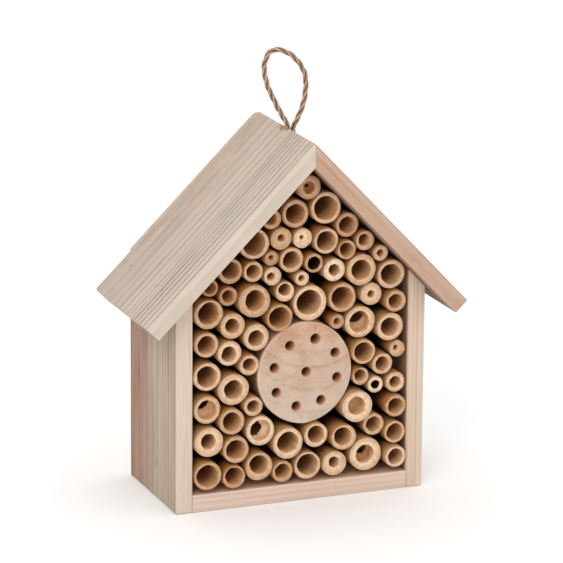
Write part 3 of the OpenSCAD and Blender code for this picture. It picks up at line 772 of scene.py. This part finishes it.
def hairs(name, P, F, radius, count, seed, lo=1.0, hi=3.5, thick=0.05, spread_=0.9):
    """Loose fibres that stand off a cord."""
    rnd = random.Random(seed)
    verts, faces, loc = [], [], []
    for h in range(count):
        i = rnd.randrange(14, len(P) - 14)
        t, n, b = F[i]
        a = rnd.uniform(0, 2 * math.pi)
        d = (n * math.cos(a) + b * math.sin(a))
        side = t * rnd.choice((-1, 1)) * rnd.uniform(0.6, 1.6) + t.cross(d) * rnd.uniform(-1, 1)
        p = P[i] + d * radius * 0.86
        v = (d * rnd.uniform(0.15, spread_) + side).normalized()
        L = rnd.uniform(lo, hi)
        bend = Vector((rnd.uniform(-1, 1), rnd.uniform(-1, 1), rnd.uniform(-1, 1))) * 0.35
        base = len(verts)
        m = 5
        for k in range(m):
            w = v.orthogonal().normalized()
            x = v.cross(w)
            rr = thick * (1 - 0.75 * k / (m - 1))
            for j in range(3):
                q = 2 * math.pi * j / 3
                verts.append((p + (w * math.cos(q) + x * math.sin(q)) * rr) * MM)
                loc.append((h * 3.1, q, 0.5))
            p = p + v * L / (m - 1)
            v = (v + bend).normalized()
        for k in range(m - 1):
            for j in range(3):
                q, r = base + k * 3, base + (k + 1) * 3
                faces.append((q + j, q + (j + 1) % 3, r + (j + 1) % 3, r + j))
        faces.append((base + 2, base + 1, base))
        faces.append((base + (m - 1) * 3, base + (m - 1) * 3 + 1, base + (m - 1) * 3 + 2))
    me = bpy.data.meshes.new(name)
    me.from_pydata(verts, [], faces)
    at = me.attributes.new("loc", "FLOAT_VECTOR", "POINT")
    at.data.foreach_set("vector", [c for v in loc for c in v])
    # loose fibres sit near the light end of the cord's painted crest ramp
    me.attributes.new("crest", "FLOAT", "POINT").data.foreach_set("value", [0.9] * len(verts))
    smooth(me, 80)
    return me


path = route_points()
me, loop_len, LP, LF = twisted("hanging_loop_cord", path, CORD_D / 2 * 1.09, 24.0, seed=3, cap=1.8)
loop_len -= 3.6
loop = link("hanging_loop_cord", me, [m_jute])
done(loop, "hanging_loop", "loop")
fuzz = link("hanging_loop_fibres", hairs("hanging_loop_fibres", LP, LF, CORD_D / 2, 170, 5, 1.0, 3.2, 0.045, 0.6), [m_jute])
done(fuzz, None, "loop")

# tails and the knot under the ridge
hx, hy = BOX_X + HOLE_X, FRONT_Y + HOLE_Y


def knot_path():
    out = [Vector((hx - 2.0, hy, PIVOT_Z - 1.0)), Vector((hx - 1.85, hy, PIVOT_Z - 2.7)), Vector((hx - 1.8, hy, 247)), Vector((hx - 1.8, hy, 240)), Vector((hx - 1.8, hy + 0.2, 231))]
    n = 40
    for i in range(n + 1):
        t = 2 * math.pi * i / n + 0.55
        x = math.sin(t) + 2 * math.sin(2 * t)
        y = math.cos(t) - 2 * math.cos(2 * t)
        z = -math.sin(3 * t)
        out.append(Vector((hx + x * 1.15, hy + y * 1.15, 221.6 + z * 1.9)))
    out += [Vector((hx + 1.8, hy - 0.2, 231)), Vector((hx + 1.8, hy, 240)), Vector((hx + 1.85, hy, 248.5)), Vector((hx + 2.1, hy, PIVOT_Z - 2.7)), Vector((hx + 2.6, hy, PIVOT_Z - 1.0))]
    return out


me, _, KP, KF = twisted("cord_knot", knot_path(), CORD_D / 2 * 1.04, 24.0, seed=9)
knot = link("cord_knot", me, [m_jute])
done(knot, "loop_knot", "hotel")


# a tuft of frayed fibre at the mouth of the hole
def tuft():
    rnd = random.Random(21)
    verts, faces, loc = [], [], []
    for h in range(96):
        x = BOX_X + RIDGE_X - rnd.uniform(-0.1, 2.0)
        p = Vector((x, rnd.gauss(2.6, 1.7), RIDGE_Z - (BOX_X + RIDGE_X - x) * math.tan(PL) - 0.1))
        v = Vector((rnd.uniform(-1.0, 0.3), rnd.uniform(-0.9, 1.2), rnd.uniform(-0.3, 0.7))).normalized()
        L = rnd.uniform(1.2, 2.8)
        bend = Vector((rnd.uniform(-0.8, 0.6), rnd.uniform(-0.6, 1), rnd.uniform(-0.8, 0.1))) * 0.5
        base, m = len(verts), 6
        for k in range(m):
            w = v.orthogonal().normalized()
            x = v.cross(w)
            rr = 0.13 * (1 - 0.7 * k / (m - 1))
            for j in range(3):
                q = 2 * math.pi * j / 3
                verts.append((p + (w * math.cos(q) + x * math.sin(q)) * rr) * MM)
                loc.append((h * 2.3, q, 0.5))
            p = p + v * L / (m - 1)
            v = (v + bend).normalized()
        for k in range(m - 1):
            for j in range(3):
                q, r = base + k * 3, base + (k + 1) * 3
                faces.append((q + j, q + (j + 1) % 3, r + (j + 1) % 3, r + j))
        faces.append((base + 2, base + 1, base))
        faces.append((base + (m - 1) * 3, base + (m - 1) * 3 + 1, base + (m - 1) * 3 + 2))
    me = bpy.data.meshes.new("frayed_tuft")
    me.from_pydata(verts, [], faces)
    at = me.attributes.new("loc", "FLOAT_VECTOR", "POINT")
    at.data.foreach_set("vector", [c for v in loc for c in v])
    smooth(me, 80)
    return me


def tuft_material():
    g = G("frayed_fibre")
    f = g.noise(g.pos(), 1.4, 3.0, 0.6)
    col = g.ramp(f, [(0.3, lin(178, 122, 70)), (0.55, lin(216, 168, 118)), (0.8, lin(238, 206, 162))])
    return g.finish(col, 0.9, None, 0.1)


done(link("frayed_tuft", tuft(), [tuft_material()]), None, "hotel")

LPM = [p * MM for p in resample(path, 0.5)[0]]


# ---------------------------------------------------------------- boards
def bore_cutter():
    return cylinder_mesh("c", (hx, hy, RIDGE_Z - 40), (0, 0, 1), CORD_HOLE / 2, 60)


def brad_cutters(side):
    out = []
    for y in (7, 17, 71, 81):
        x = -97.0 if side < 0 else 97.0
        n = Vector((-math.sin(PL), 0, math.cos(PL))) if side < 0 else Vector((math.sin(PR), 0, math.cos(PR)))
        c = Vector((BOX_X + x, FRONT_Y + y, roof_z(x)))
        out.append(cylinder_mesh("b", c - n * 0.5, n, 1.0, 3.0, 20))
    return out


def corner(ob, x, y, r):
    """Round the upright edge at x, y (mm)."""
    bm = bmesh.new()
    bm.from_mesh(ob.data)
    bmesh.ops.dissolve_limit(bm, angle_limit=math.radians(1), verts=bm.verts, edges=bm.edges)
    es = [e for e in bm.edges if all(abs(v.co.x / MM - x) < 0.05 and abs(v.co.y / MM - y) < 0.05 for v in e.verts) and abs(e.verts[0].co.z - e.verts[1].co.z) > 0.004]
    assert es, "ridge corner"
    bmesh.ops.bevel(bm, geom=es, offset=r * MM, offset_type="OFFSET", segments=5, profile=0.5, affect="EDGES", clamp_overlap=True)
    bm.to_mesh(ob.data)
    bm.free()


def roof_boards():
    ul = [(RIDGE_X, RIDGE_Z), (RIDGE_X - REACH_L, roof_z(RIDGE_X - REACH_L)),
          (RIDGE_X - REACH_L + ROOF_T * math.sin(PL), roof_z(RIDGE_X - REACH_L) - ROOF_T * math.cos(PL)), (RIDGE_X, RIDGE_Z - ROOF_T / math.cos(PL))]
    ur = [(RIDGE_X, RIDGE_Z), (RIDGE_X, RIDGE_Z - ROOF_T / math.cos(PR)),
          (RIDGE_X + REACH_R - ROOF_T * math.sin(PR), roof_z(RIDGE_X + REACH_R) - ROOF_T * math.cos(PR)), (RIDGE_X + REACH_R, roof_z(RIDGE_X + REACH_R))]
    xr = BOX_X + RIDGE_X
    yb = FRONT_Y + BOX_D
    for name, node, o, mat, slot, end in (("roof_left", "roof_board_left", ul, m_roof_l, "roof_pine", -1), ("roof_right", "roof_board_right", ur, m_roof_r, "ridge_pine", 1)):
        ob = link(name, prism(name, o, -OVER, BOX_D), [mat])
        cut(ob, [bore_cutter()] + brad_cutters(end))
        corner(ob, xr, yb, 4.0)
        near = lambda a, b: (abs(a.x - xr) < 6 and abs(b.x - xr) < 6) or abs((a - b).length - 0.2) < 1.6 and a.z > 100 and (abs(a.x) > 90 and abs(a.x) < 100)
        edge = lambda a, b: abs(a.x - b.x) < 12 and abs(abs(a.x - b.x) - (ROOF_T * math.sin(PL if end < 0 else PR))) < 0.6 and abs(a.y - b.y) < 0.1 and a.y > yb - 1 and abs(a.x) > 90
        ease(ob, 1.0, fine=near, fine_width=0.2, round_=edge, round_width=2.5)
        done(ob, node)


roof_boards()


def walls():
    zl = [(-HALF, 0), (-INNER, 0), (-INNER, under_z(-INNER)), (-HALF, under_z(-HALF))]
    zr = [(INNER, 0), (HALF, 0), (HALF, under_z(HALF)), (INNER, under_z(INNER))]
    base = [(-INNER, 0), (INNER, 0), (INNER, BOARD_T), (-INNER, BOARD_T)]
    for name, node, o, mat, slot in (("wall_left", "side_wall_left", zl, m_wall_l, "left_wall_pine"), ("wall_right", "side_wall_right", zr, m_wall_r, "right_wall_pine"),
                                     ("base", "base_board", base, m_base, "base_pine")):
        ob = link(name, prism(name, o, 0, BOX_D), [mat])
        inner = lambda a, b: a.y > FRONT_Y + BOX_D - 1 and b.y > FRONT_Y + BOX_D - 1
        ease(ob, 0.9 if name != "base" else 0.5, fine=inner, fine_width=0.2)
        done(ob, node)


walls()


# ---------------------------------------------------------------- log slice
def log_slice():
    n = 180
    cx, cz = BOX_X + LOG_X, LOG_Z
    pts = []
    for i in range(n):
        a = 2 * math.pi * i / n
        # inside both circles
        r = 1e9
        for o in (-2.0, 2.0):
            dx = -o
            b = math.cos(a) * dx
            c = dx * dx - LOG_R ** 2
            r = min(r, -b + math.sqrt(b * b - c))
        r *= 1 - 0.006 * (1 + noise.noise(Vector((math.cos(a) * 1.6, math.sin(a) * 1.6, 3.0))))
        pts.append((r * math.cos(a), r * math.sin(a)))
    prof = [(1.0, 0.9, 0.0), (0.35, 0.25, 0.0), (0.0, 0.0, 0.0)]
    # rings from the outer edge of the face: (inset, depth)
    steps = [(0.0, BOX_D - LOG_SET), (0.0, 1.3), (0.2, 0.5), (0.6, 0.15), (1.3, 0.0)]
    me = bpy.data.meshes.new("log_slice")
    bm = bmesh.new()
    rings = []
    for inset, dep in steps:
        ring = []
        for x, z in pts:
            r = math.hypot(x, z)
            k = (r - inset) / r
            ring.append(bm.verts.new(((cx + x * k) * MM, (FRONT_Y + LOG_SET + dep) * MM, (cz + z * k) * MM)))
        rings.append(ring)
    for a, b in zip(rings, rings[1:]):
        for i in range(n):
            j = (i + 1) % n
            bm.faces.new((a[i], a[j], b[j], b[i]))
    bm.faces.new(rings[0][::-1])
    bm.faces.new(rings[-1])
    bmesh.ops.recalc_face_normals(bm, faces=bm.faces)
    bm.to_mesh(me)
    bm.free()
    ob = link("log_slice", me, [m_log])
    rnd = random.Random(4)
    cutters = []
    for k, (x, z) in enumerate(LOG_HOLES):
        r = LOG_HOLE / 2 + (0.25 if k == 1 else 0.0)
        c = Vector((BOX_X + x, FRONT_Y + LOG_SET - 1, z))
        cutters.append(cylinder_mesh("h", c, (0, 1, 0), r, 61, 40))
    cut(ob, cutters)
    # ease the mouths of the holes
    me = ob.data
    bm = bmesh.new()
    bm.from_mesh(me)
    lay = bm.edges.layers.float.get("bevel_weight_edge") or bm.edges.layers.float.new("bevel_weight_edge")
    for e in bm.edges:
        if len(e.link_faces) == 2 and e.calc_face_angle(0) > math.radians(60):
            a, b = e.verts[0].co / MM, e.verts[1].co / MM
            if abs(a.y - (FRONT_Y + LOG_SET)) < 0.05 and abs(b.y - (FRONT_Y + LOG_SET)) < 0.05:
                e[lay] = 1.0
    bm.to_mesh(me)
    bm.free()
    m = ob.modifiers.new("ease", "BEVEL")
    m.width, m.segments, m.limit_method = 0.45 * MM, 2, "WEIGHT"
    bpy.context.view_layer.update()
    baked(ob)
    smooth(ob.data, 40)
    done(ob, "log_disc")


log_slice()

# ---------------------------------------------------------------- bamboo
# number: (x, z, outer, bore, set, tone, bore offset x, bore offset z); lengths in mm, tone 0 tan .. 1 pale
TUBES = {
    1: (3, 219, 17.5, 8.5, -3, 0.2, 0, 0), 2: (-5.5, 201, 20, 13.5, 0, 0.3, 0, 0), 3: (16, 203.5, 22.5, 16.5, -1, 0.7, 0, 0),
    4: (-23, 199, 14, 8.5, -2, 0.2, -1, 0.6), 5: (31.5, 190.5, 17.5, 11.5, -1, 0.3, 0, 0), 6: (-16, 185, 16, 5, -1, 0.4, 0.1, 0.6),
    7: (-0.5, 184, 14.5, 3, -1, 0.9, -0.8, 0.8), 8: (16, 181, 18.5, 13.5, -2, 0.6, 0, 0), 9: (-35.5, 183.5, 22, 16, -2, 0.6, 0, 0),
    10: (44.5, 178.5, 14.5, 8, -1, 0.5, -0.6, 0.6), 11: (31, 173.5, 14, 10, -2, 0.3, 0, 0), 12: (56.5, 168.5, 12, 5, 0, 0.7, 0, 0),
    13: (-22.5, 172, 11, 3.5, -0.5, 0, -0.2, 0.6), 14: (-8, 169.5, 18, 12, 0, 0.5, 0, 0), 15: (8, 166, 14, 9, -0.5, 0.1, 0, 0),
    16: (22.5, 160, 16.5, 8, -1, 1, 0, 0), 17: (42, 158.5, 22.5, 14, -1.5, 0.6, 0, 0), 18: (64.5, 153, 21, 14.5, 0, 0.7, 0, 0),
    19: (-52, 166, 18, 12, -1, 0.3, 0.3, 0.4), 20: (-35.5, 164, 15, 9.5, -0.5, 0.5, 0, 0), 21: (-21.5, 159.5, 13.5, 5.5, 0, 0.7, -1.1, -0.1),
    22: (-0.5, 156, 11, 4.5, -0.5, 0.7, -0.4, 0.3), 23: (-66, 155.5, 12.5, 8.5, 0, 0, 0, 0), 24: (-53, 148.5, 14, 8.5, 0, 0, 0, 0),
    25: (-34.5, 143.5, 23.5, 14, -0.5, 0.4, 0.5, 0.6), 26: (-12.5, 148, 14.5, 8.5, 0, 0.8, -0.2, 1.5), 27: (5.5, 138.5, 25.5, 17.5, 0, 0.8, -0.6, 0.4),
    28: (29, 140, 21, 15, 0, 0.3, 0, 0), 29: (50, 140.5, 16.5, 5, 0, 0.7, 0, 0), 30: (68, 134, 16, 10, -0.5, 0.4, 0, 0),
    31: (-67, 137.5, 21.5, 15, -0.5, 0.4, 0, 0.7), 32: (-49.5, 127.5, 18.5, 10, 1, 0.6, 0, 0), 33: (-16.5, 130.5, 19.5, 15, -1, 0.2, 0, 0),
    34: (25.5, 123.5, 11, 5, 0, 0.1, 0, 0), 35: (42.5, 121.5, 23, 14.5, 1, 0.7, -0.4, 0), 36: (64.5, 116, 20.5, 13, 0.5, 0.7, 0, 0),
    37: (-32.5, 118, 19.5, 11, 1, 0.7, -0.2, -0.7), 38: (-68.5, 116.5, 18, 12.5, -0.5, 0.5, 0, 0), 39: (70, 100, 12.5, 3.5, 0.5, 0.4, -1.1, 0.9),
    40: (-52, 109, 18, 10.5, 0, 0.8, -0.3, -0.6), 41: (45, 100.5, 18, 13.5, -0.5, 0.5, 0, 0), 42: (59, 90.5, 16, 10, 0, 0.6, 0, 0),
    43: (-38, 99.5, 15, 9, -0.5, 0.6, 0.1, 0.4), 44: (-67.5, 94, 20.5, 14.5, 1, 0.7, 0, 0), 45: (43.5, 83, 13, 8.5, 0.5, 0.5, -0.3, 0.8),
    46: (54.5, 76, 12.5, 6, 1, 0.9, 0, 0), 47: (69, 76.5, 15, 8, 0.5, 0.7, 0, 0), 48: (-48.5, 83, 23, 13, 1.5, 0.7, 0, 0),
    49: (69.5, 59.5, 16.5, 11, 0, 0.3, 0, 0), 50: (40.5, 62.5, 23, 12.5, -1.5, 0.9, -0.5, 0.5), 51: (-34.5, 70, 14.5, 8.5, 0.5, 0.6, 0, 0),
    52: (-67.5, 71, 20, 13.5, 0.5, 0.6, 0, 0), 53: (-50, 61, 19, 13, 0, 0.4, 0, 0), 54: (54, 47.5, 16.5, 10.5, 2, 0.5, 0, 0),
    55: (-29.5, 52.5, 21.5, 14.5, 0, 0.9, 0, 0.4), 56: (69.5, 40.5, 16.5, 12, 1, 0.6, 0, 0), 57: (11, 45, 18, 12, 0, 0.8, 0, 0.4),
    58: (31, 41.5, 19, 12.5, -1, 0.6, -0.7, 0.7), 59: (-9.5, 41.5, 23, 15, 0, 0.8, 0.1, 0.6), 60: (-66.5, 48.5, 21.5, 10.5, -0.5, 0.8, -0.5, 0.5),
    61: (-47, 41, 19.5, 13.5, 0, 0.4, 0, 0), 62: (48, 27, 24.5, 13, 1, 0.9, -0.5, 0.2), 63: (69.5, 23.5, 16.5, 11, -1, 0.8, 0, 0),
    64: (25, 23, 18.5, 7.5, 1, 0.8, -0.2, 0.9), 65: (-30.5, 27.5, 20.5, 13, -0.5, 0.5, 0, 1.3), 66: (5, 24, 20, 15, 0, 0.7, 0, 0.6),
    67: (-13, 21.5, 16, 10.5, 0.5, 0.3, 0, 0.4), 68: (-67.5, 25, 20.5, 15.5, -1, 0.3, 0, 0), 69: (-48.5, 22, 17, 12.5, -0.5, 0.2, 0.1, 0.6),
}
# number: (depth, break x, break z, partition tone)
WALLS = {1: (6, 0, 0, 0.25), 35: (8, 0, 5, 0.8), 55: (5, -6, 0, 1.0), 52: (7, -7, 5, 0.7), 62: (9, -5, 4, 0.55), 50: (9, 0, 0, 0.1), 39: (3, 0, 0, 0.7), 64: (60, 0, 0, 0.5)}
# breaks in the partitions: (x, z, radius)
BREAKS = {35: (0.3, 3.2, 6.2), 55: (-2.2, 0.3, 5.3), 52: (-1.0, 3.0, 4.6), 62: (0.6, 0.8, 3.6), 39: (0.2, -0.1, 1.15), 1: (1.2, -0.6, 1.3)}
SHORT = {1: 27.0}


def tube_mesh(k):
    x, z, od, bd, st, tone, ox, oz = TUBES[k]
    rnd = random.Random(1000 + k)
    N = 44 if od > 14 else 36
    R, B = od / 2 - 0.03, bd / 2
    run = SHORT.get(k, BOX_D - st - 0.05)
    wall_at = WALLS.get(k, (run - 0.4, 0, 0, 0))[0]
    ph2, ph3 = rnd.uniform(0, 6.28), rnd.uniform(0, 6.28)
    tilt, tdir = math.tan(math.radians(rnd.uniform(0.2, 2.2))), rnd.uniform(0, 6.28)
    seed = rnd.uniform(0, 100)
    spin = rnd.uniform(0, 6.28)
    node_at = rnd.uniform(0.25, 0.85) * run

    def ro(a, d):
        r = R * (1 - 0.010 * (1 + math.cos(2 * (a - ph2))) - 0.006 * (1 + math.cos(3 * (a - ph3))))
        r -= 0.34 * (0.5 + 0.5 * noise.noise(Vector((math.cos(a) * 2.2 + seed, math.sin(a) * 2.2, d * 0.05))))
        return r

    def ri(a, d):
        r = B * (1 + 0.022 * math.cos(2 * (a - ph2)) + 0.012 * math.cos(3 * (a - ph3)))
        r += min(0.38, 0.05 * bd) * noise.noise(Vector((math.cos(a) * 2 + seed, math.sin(a) * 2 + 9, d * 0.08)))
        return max(0.5, r)

    def face(a, r):
        return tilt * r * math.cos(a - tdir) + 0.10 * noise.noise(Vector((math.cos(a) * r * 0.45 + seed, math.sin(a) * r * 0.45, 4.0)))

    verts, loc, own, rings = [], [], [], []
    ca, sa = math.cos(spin), math.sin(spin)

    def add(cx, cz, r_of, d_of, radial):
        ring = []
        for i in range(N):
            a = 2 * math.pi * i / N
            r, d = r_of(a), d_of(a)
            px, pz = cx + r * math.cos(a), cz + r * math.sin(a)
            ring.append(len(verts))
            verts.append(((BOX_X + x + px) * MM, (FRONT_Y + st + d) * MM, (z + pz) * MM))
            # tubes 46 and 15: their bores read 84 and 80 mm deeper, so the bore's painted shade makes them nearly black
            loc.append((radial, a, max(0.0, d) + ({46: 84.0, 15: 80.0}.get(k, 0.0) if radial < 0 else 0.0)))
            own.append((px * ca - pz * sa + seed * 7, d + seed, px * sa + pz * ca + seed * 3))
        rings.append((ring, radial))

    ch_o = min(0.45, 0.16 * (R - B))
    ch_i = min(0.35, 0.14 * (R - B))
    # outer skin from the back to the mouth
    for d in (run, node_at + 2.2, node_at + 0.9, node_at, node_at - 0.9, node_at - 2.2, 0.62 * node_at, 8.0, 3.0, ch_o * 1.2):
        swell = -0.10
        if abs(d - node_at) < 1.0:
            swell = 0.02 if abs(d - node_at) < 0.1 else -0.06
        if abs(abs(d - node_at) - 2.2) < 0.1:
            swell = -0.16
        add(0, 0, lambda a, d=d, s=swell: ro(a, d) + s, lambda a, d=d: d + (face(a, R) if d < 5 else 0), 2.0)
    n_skin = len(rings)
    # sawn face: eased outer edge, the wall, eased inner edge
    add(0, 0, lambda a: ro(a, 0) - 0.35 * ch_o, lambda a: 0.32 * ch_o + face(a, R), 1.0)
    add(0, 0, lambda a: ro(a, 0) - ch_o, lambda a: face(a, R - ch_o), 0.93)
    for f in (0.75, 0.5, 0.25):
        def rr(a, f=f):
            # between the bore's edge, which may be off centre, and the skin
            bx, bz = ox + (ri(a, 0) + ch_i) * math.cos(a), oz + (ri(a, 0) + ch_i) * math.sin(a)
            rb = math.hypot(bx, bz)
            return rb + (ro(a, 0) - ch_o - rb) * f
        add(0, 0, rr, lambda a, f=f: face(a, B + (R - B) * f), f)
    add(ox, oz, lambda a: ri(a, 0) + ch_i, lambda a: face(a, B + ch_i), 0.06)
    add(ox, oz, lambda a: ri(a, 0) + 0.3 * ch_i, lambda a: 0.35 * ch_i + face(a, B), 0.0)
    n_face = len(rings)
    # inside of the bore
    depth = min(run - 0.4, wall_at) if k not in BREAKS else run - 0.4
    ds = [1.2 * ch_i + 0.15, 0.05 * depth + 1, 0.12 * depth + 1.5, 0.25 * depth + 1.5, 0.45 * depth + 1, 0.7 * depth + 0.5, depth]
    ds = [min(d, depth) for d in ds] if depth > 4 else [1.2 * ch_i + 0.15, depth * 0.4, depth]
    for d in ds:
        f = min(1.0, d / 25.0)
        add(ox * (1 - f), oz * (1 - f), lambda a, d=d: ri(a, d), lambda a, d=d: d + (face(a, B) if d < 2 else 0), -1.0)
    faces, mats = [], []
    for q, ((a, _), (b, _)) in enumerate(zip(rings, rings[1:])):
        mi = 1 if q + 1 < n_skin else (0 if q + 1 < n_face else 2)
        for i in range(N):
            j = (i + 1) % N
            faces.append((a[i], b[i], b[j], a[j]))
            mats.append(mi)
    last = rings[-1][0]
    wx, wz, wt = WALLS.get(k, (0, 0, 0, 0))[1:]
    if k in WALLS and k != 64:
        # a papery partition: a dished sheet with a front and a back, torn open where the break is
        at, M_ = wall_at, 11
        bx, bz, br = BREAKS.get(k, (0, 0, 0))

        def spot(q, i):
            a = 2 * math.pi * i / N
            f = q / M_
            r = ri(a, at) * f * 1.01 + 0.05
            off = min(1.0, at / 25.0)
            return r * math.cos(a) + ox * (1 - off), r * math.sin(a) + oz * (1 - off), f

        def torn(px, pz):
            if not br:
                return False
            rag = br * (1 + 0.16 * noise.noise(Vector((math.atan2(pz - bz, px - bx) * 2.0, seed, 2.0))))
            return math.hypot(px - bx, pz - bz) < rag

        grid = {}
        for layer in (0, 1):
            for q in range(1, M_ + 1):
                for i in range(N):
                    px, pz, f = spot(q, i)
                    lip = 0.0
                    if br:
                        lip = 1.6 * math.exp(-max(0.0, math.hypot(px - bx, pz - bz) - br) / 1.2)
                    d = at + (1 - f * f) * 1.3 + 0.35 * noise.noise(Vector((px * 0.5 + seed, pz * 0.5, 1.0))) + lip * (0.5 + 0.5 * noise.noise(Vector((px, pz, seed)))) + 0.45 * layer
                    grid[layer, q, i] = len(verts)
                    verts.append(((BOX_X + x + px) * MM, (FRONT_Y + st + d) * MM, (z + pz) * MM))
                    loc.append((f, 2 * math.pi * i / N, d))
                    own.append((px * ca - pz * sa + seed * 7, d + seed, px * sa + pz * ca + seed * 3))
        used, cells = {}, []
        for q in range(1, M_):
            for i in range(N):
                j = (i + 1) % N
                c = [spot(q, i), spot(q, j), spot(q + 1, i), spot(q + 1, j)]
                if torn(sum(v[0] for v in c) / 4, sum(v[1] for v in c) / 4):
                    continue
                cells.append(((q, i), (q + 1, i), (q + 1, j), (q, j)))
        if not torn(spot(0, 0)[0], spot(0, 0)[1]) and br != 1.15 and k != 1:
            cells.append(tuple((1, i) for i in range(N))[::-1])
        for c in cells:
            for e in zip(c, c[1:] + c[:1]):
                used[e] = used.get(e, 0) + 1
            faces.append([grid[(0,) + v] for v in c])
            mats.append(3)
            faces.append([grid[(1,) + v] for v in c][::-1])
            mats.append(3)
        for (u_, v_) in list(used):
            if (v_, u_) not in used:
                faces.append((grid[(0,) + v_], grid[(0,) + u_], grid[(1,) + u_], grid[(1,) + v_]))
                mats.append(3)
    faces.append(last[::-1])
    mats.append(2)
    faces.append(rings[0][0])
    mats.append(1)
    return verts, faces, mats, loc, own, tone, wt


def bamboo_node(node, ids):
    V, Fs, M, L, O, Tn = [], [], [], [], [], []
    for k in ids:
        v, f, m, l, o, tone, wt = tube_mesh(k)
        b = len(V)
        V += v
        Fs += [[b + i for i in q] for q in f]
        M += m
        L += l
        O += o
        # the partition has a tone of its own
        part = {i for q, mi in zip(f, m) if mi == 3 for i in q}
        Tn += [wt if i in part else tone for i in range(len(v))]
    me = bpy.data.meshes.new(node + "_culm")
    me.from_pydata(V, [], Fs)
    for n_, d, kind in (("loc", L, "FLOAT_VECTOR"), ("own", O, "FLOAT_VECTOR")):
        at = me.attributes.new(n_, kind, "POINT")
        at.data.foreach_set("vector", [c for v in d for c in v])
    at = me.attributes.new("tone", "FLOAT", "POINT")
    at.data.foreach_set("value", Tn)
    ob = link(node + "_culm", me, [m_end, m_rind, m_bore, m_part])
    me.polygons.foreach_set("material_index", M)
    bm = bmesh.new()
    bm.from_mesh(me)
    bmesh.ops.recalc_face_normals(bm, faces=bm.faces)
    bm.to_mesh(me)
    bm.free()
    smooth(me, 42)
    done(ob, node)
    return ob


for node in sorted(frame["nodes"]):
    if node.startswith("bamboo_"):
        bamboo_node(node, [int(s) for s in node.split("_")[1:]])

# ---------------------------------------------------------------- back panel
def back_board():
    """The sheet behind, its peak rounded, seated round the pins that hold it."""
    r, cz = 3.2, RIDGE_Z - 3.2 / math.cos(math.radians(45.4)) - 0.35
    pk = []
    for i in range(9):
        a = math.pi / 2 - PR + (PL + PR) * i / 8
        pk.append((RIDGE_X + r * math.cos(a), cz + r * math.sin(a)))
    o = [(-HALF, 0), (HALF, 0), (HALF, roof_z(HALF) - 0.1), (RIDGE_X + 6, roof_z(RIDGE_X + 6) - 0.1)] + pk + [(RIDGE_X - 6, roof_z(RIDGE_X - 6) - 0.1), (-HALF, roof_z(-HALF) - 0.1)]
    ob = link("back_board", prism("back_board", o, BOX_D, BOX_D + BACK_T), [m_ply])
    y = FRONT_Y + BOX_D + BACK_T
    pins = [(s * 84, z) for s in (-1, 1) for z in (8, 50, 90, 126)] + [(-28, 6), (28, 6), (-45, 199), (47, 196)]
    cut(ob, [cylinder_mesh("p", (BOX_X + px, y - 0.8, pz), (0, 1, 0), 1.3, 3.0, 24) for px, pz in pins] +
        [cylinder_mesh("p", (BOX_X + px, y - 6, pz), (0, 1, 0), 0.6, 8.0, 16) for px, pz in pins])
    ease(ob, 0.3, fine=lambda a, b: a.y < y - 2.9 and b.y < y - 2.9, fine_width=0.1, angle=50)
    done(ob, "back_panel")


back_board()

# ---------------------------------------------------------------- CAD nodes that stay
for node, mat in (("roof_brads", m_brad), ("back_panel_pins", m_steel)):
    ob = bpy.data.objects[frame["nodes"][node].name] if not isinstance(frame["nodes"][node], str) else bpy.data.objects[frame["nodes"][node]]
    ob.data.materials.clear()
    ob.data.materials.append(mat)


# ---------------------------------------------------------------- stage
def stage():
    me = bpy.data.meshes.new("floor")
    bm = bmesh.new()
    bmesh.ops.create_grid(bm, x_segments=1, y_segments=1, size=6.0)
    bm.to_mesh(me)
    bm.free()
    g = G("floor")
    f = g.noise(g.pos(1.0), 0.6, 2.0, 0.5)
    g.finish(g.ramp(f, [(0.0, (0.97, 0.97, 0.97)), (1.0, (0.985, 0.985, 0.985))]), 0.95, None, 0.0)
    ob = link("floor", me, [g.mat])
    ob.location = (0, 0, -0.0002)
    w = sc.world or bpy.data.worlds.new("world")
    sc.world = w
    w.use_nodes = True
    t = w.node_tree
    t.nodes.clear()
    o = t.nodes.new("ShaderNodeOutputWorld")
    b = t.nodes.new("ShaderNodeBackground")
    b.inputs[0].default_value = (1.0, 1.0, 1.0, 1.0)
    b.inputs[1].default_value = 1.04
    t.links.new(b.outputs[0], o.inputs[0])

    def area(name, loc, target, size, power, col=(1, 1, 1)):
        l = bpy.data.lights.new(name, "AREA")
        l.energy, l.size, l.color = power, size, col
        ob = bpy.data.objects.new(name, l)
        sc.collection.objects.link(ob)
        ob.location = loc
        ob.rotation_euler = (Vector(target) - Vector(loc)).to_track_quat("-Z", "Y").to_euler()

    area("key", (-1.1, -1.5, 1.5), (0, 0, 0.13), 0.7, 9, (1.0, 0.98, 0.95))


stage()
sc.view_settings.view_transform = "Standard"
sc.view_settings.look = "None"
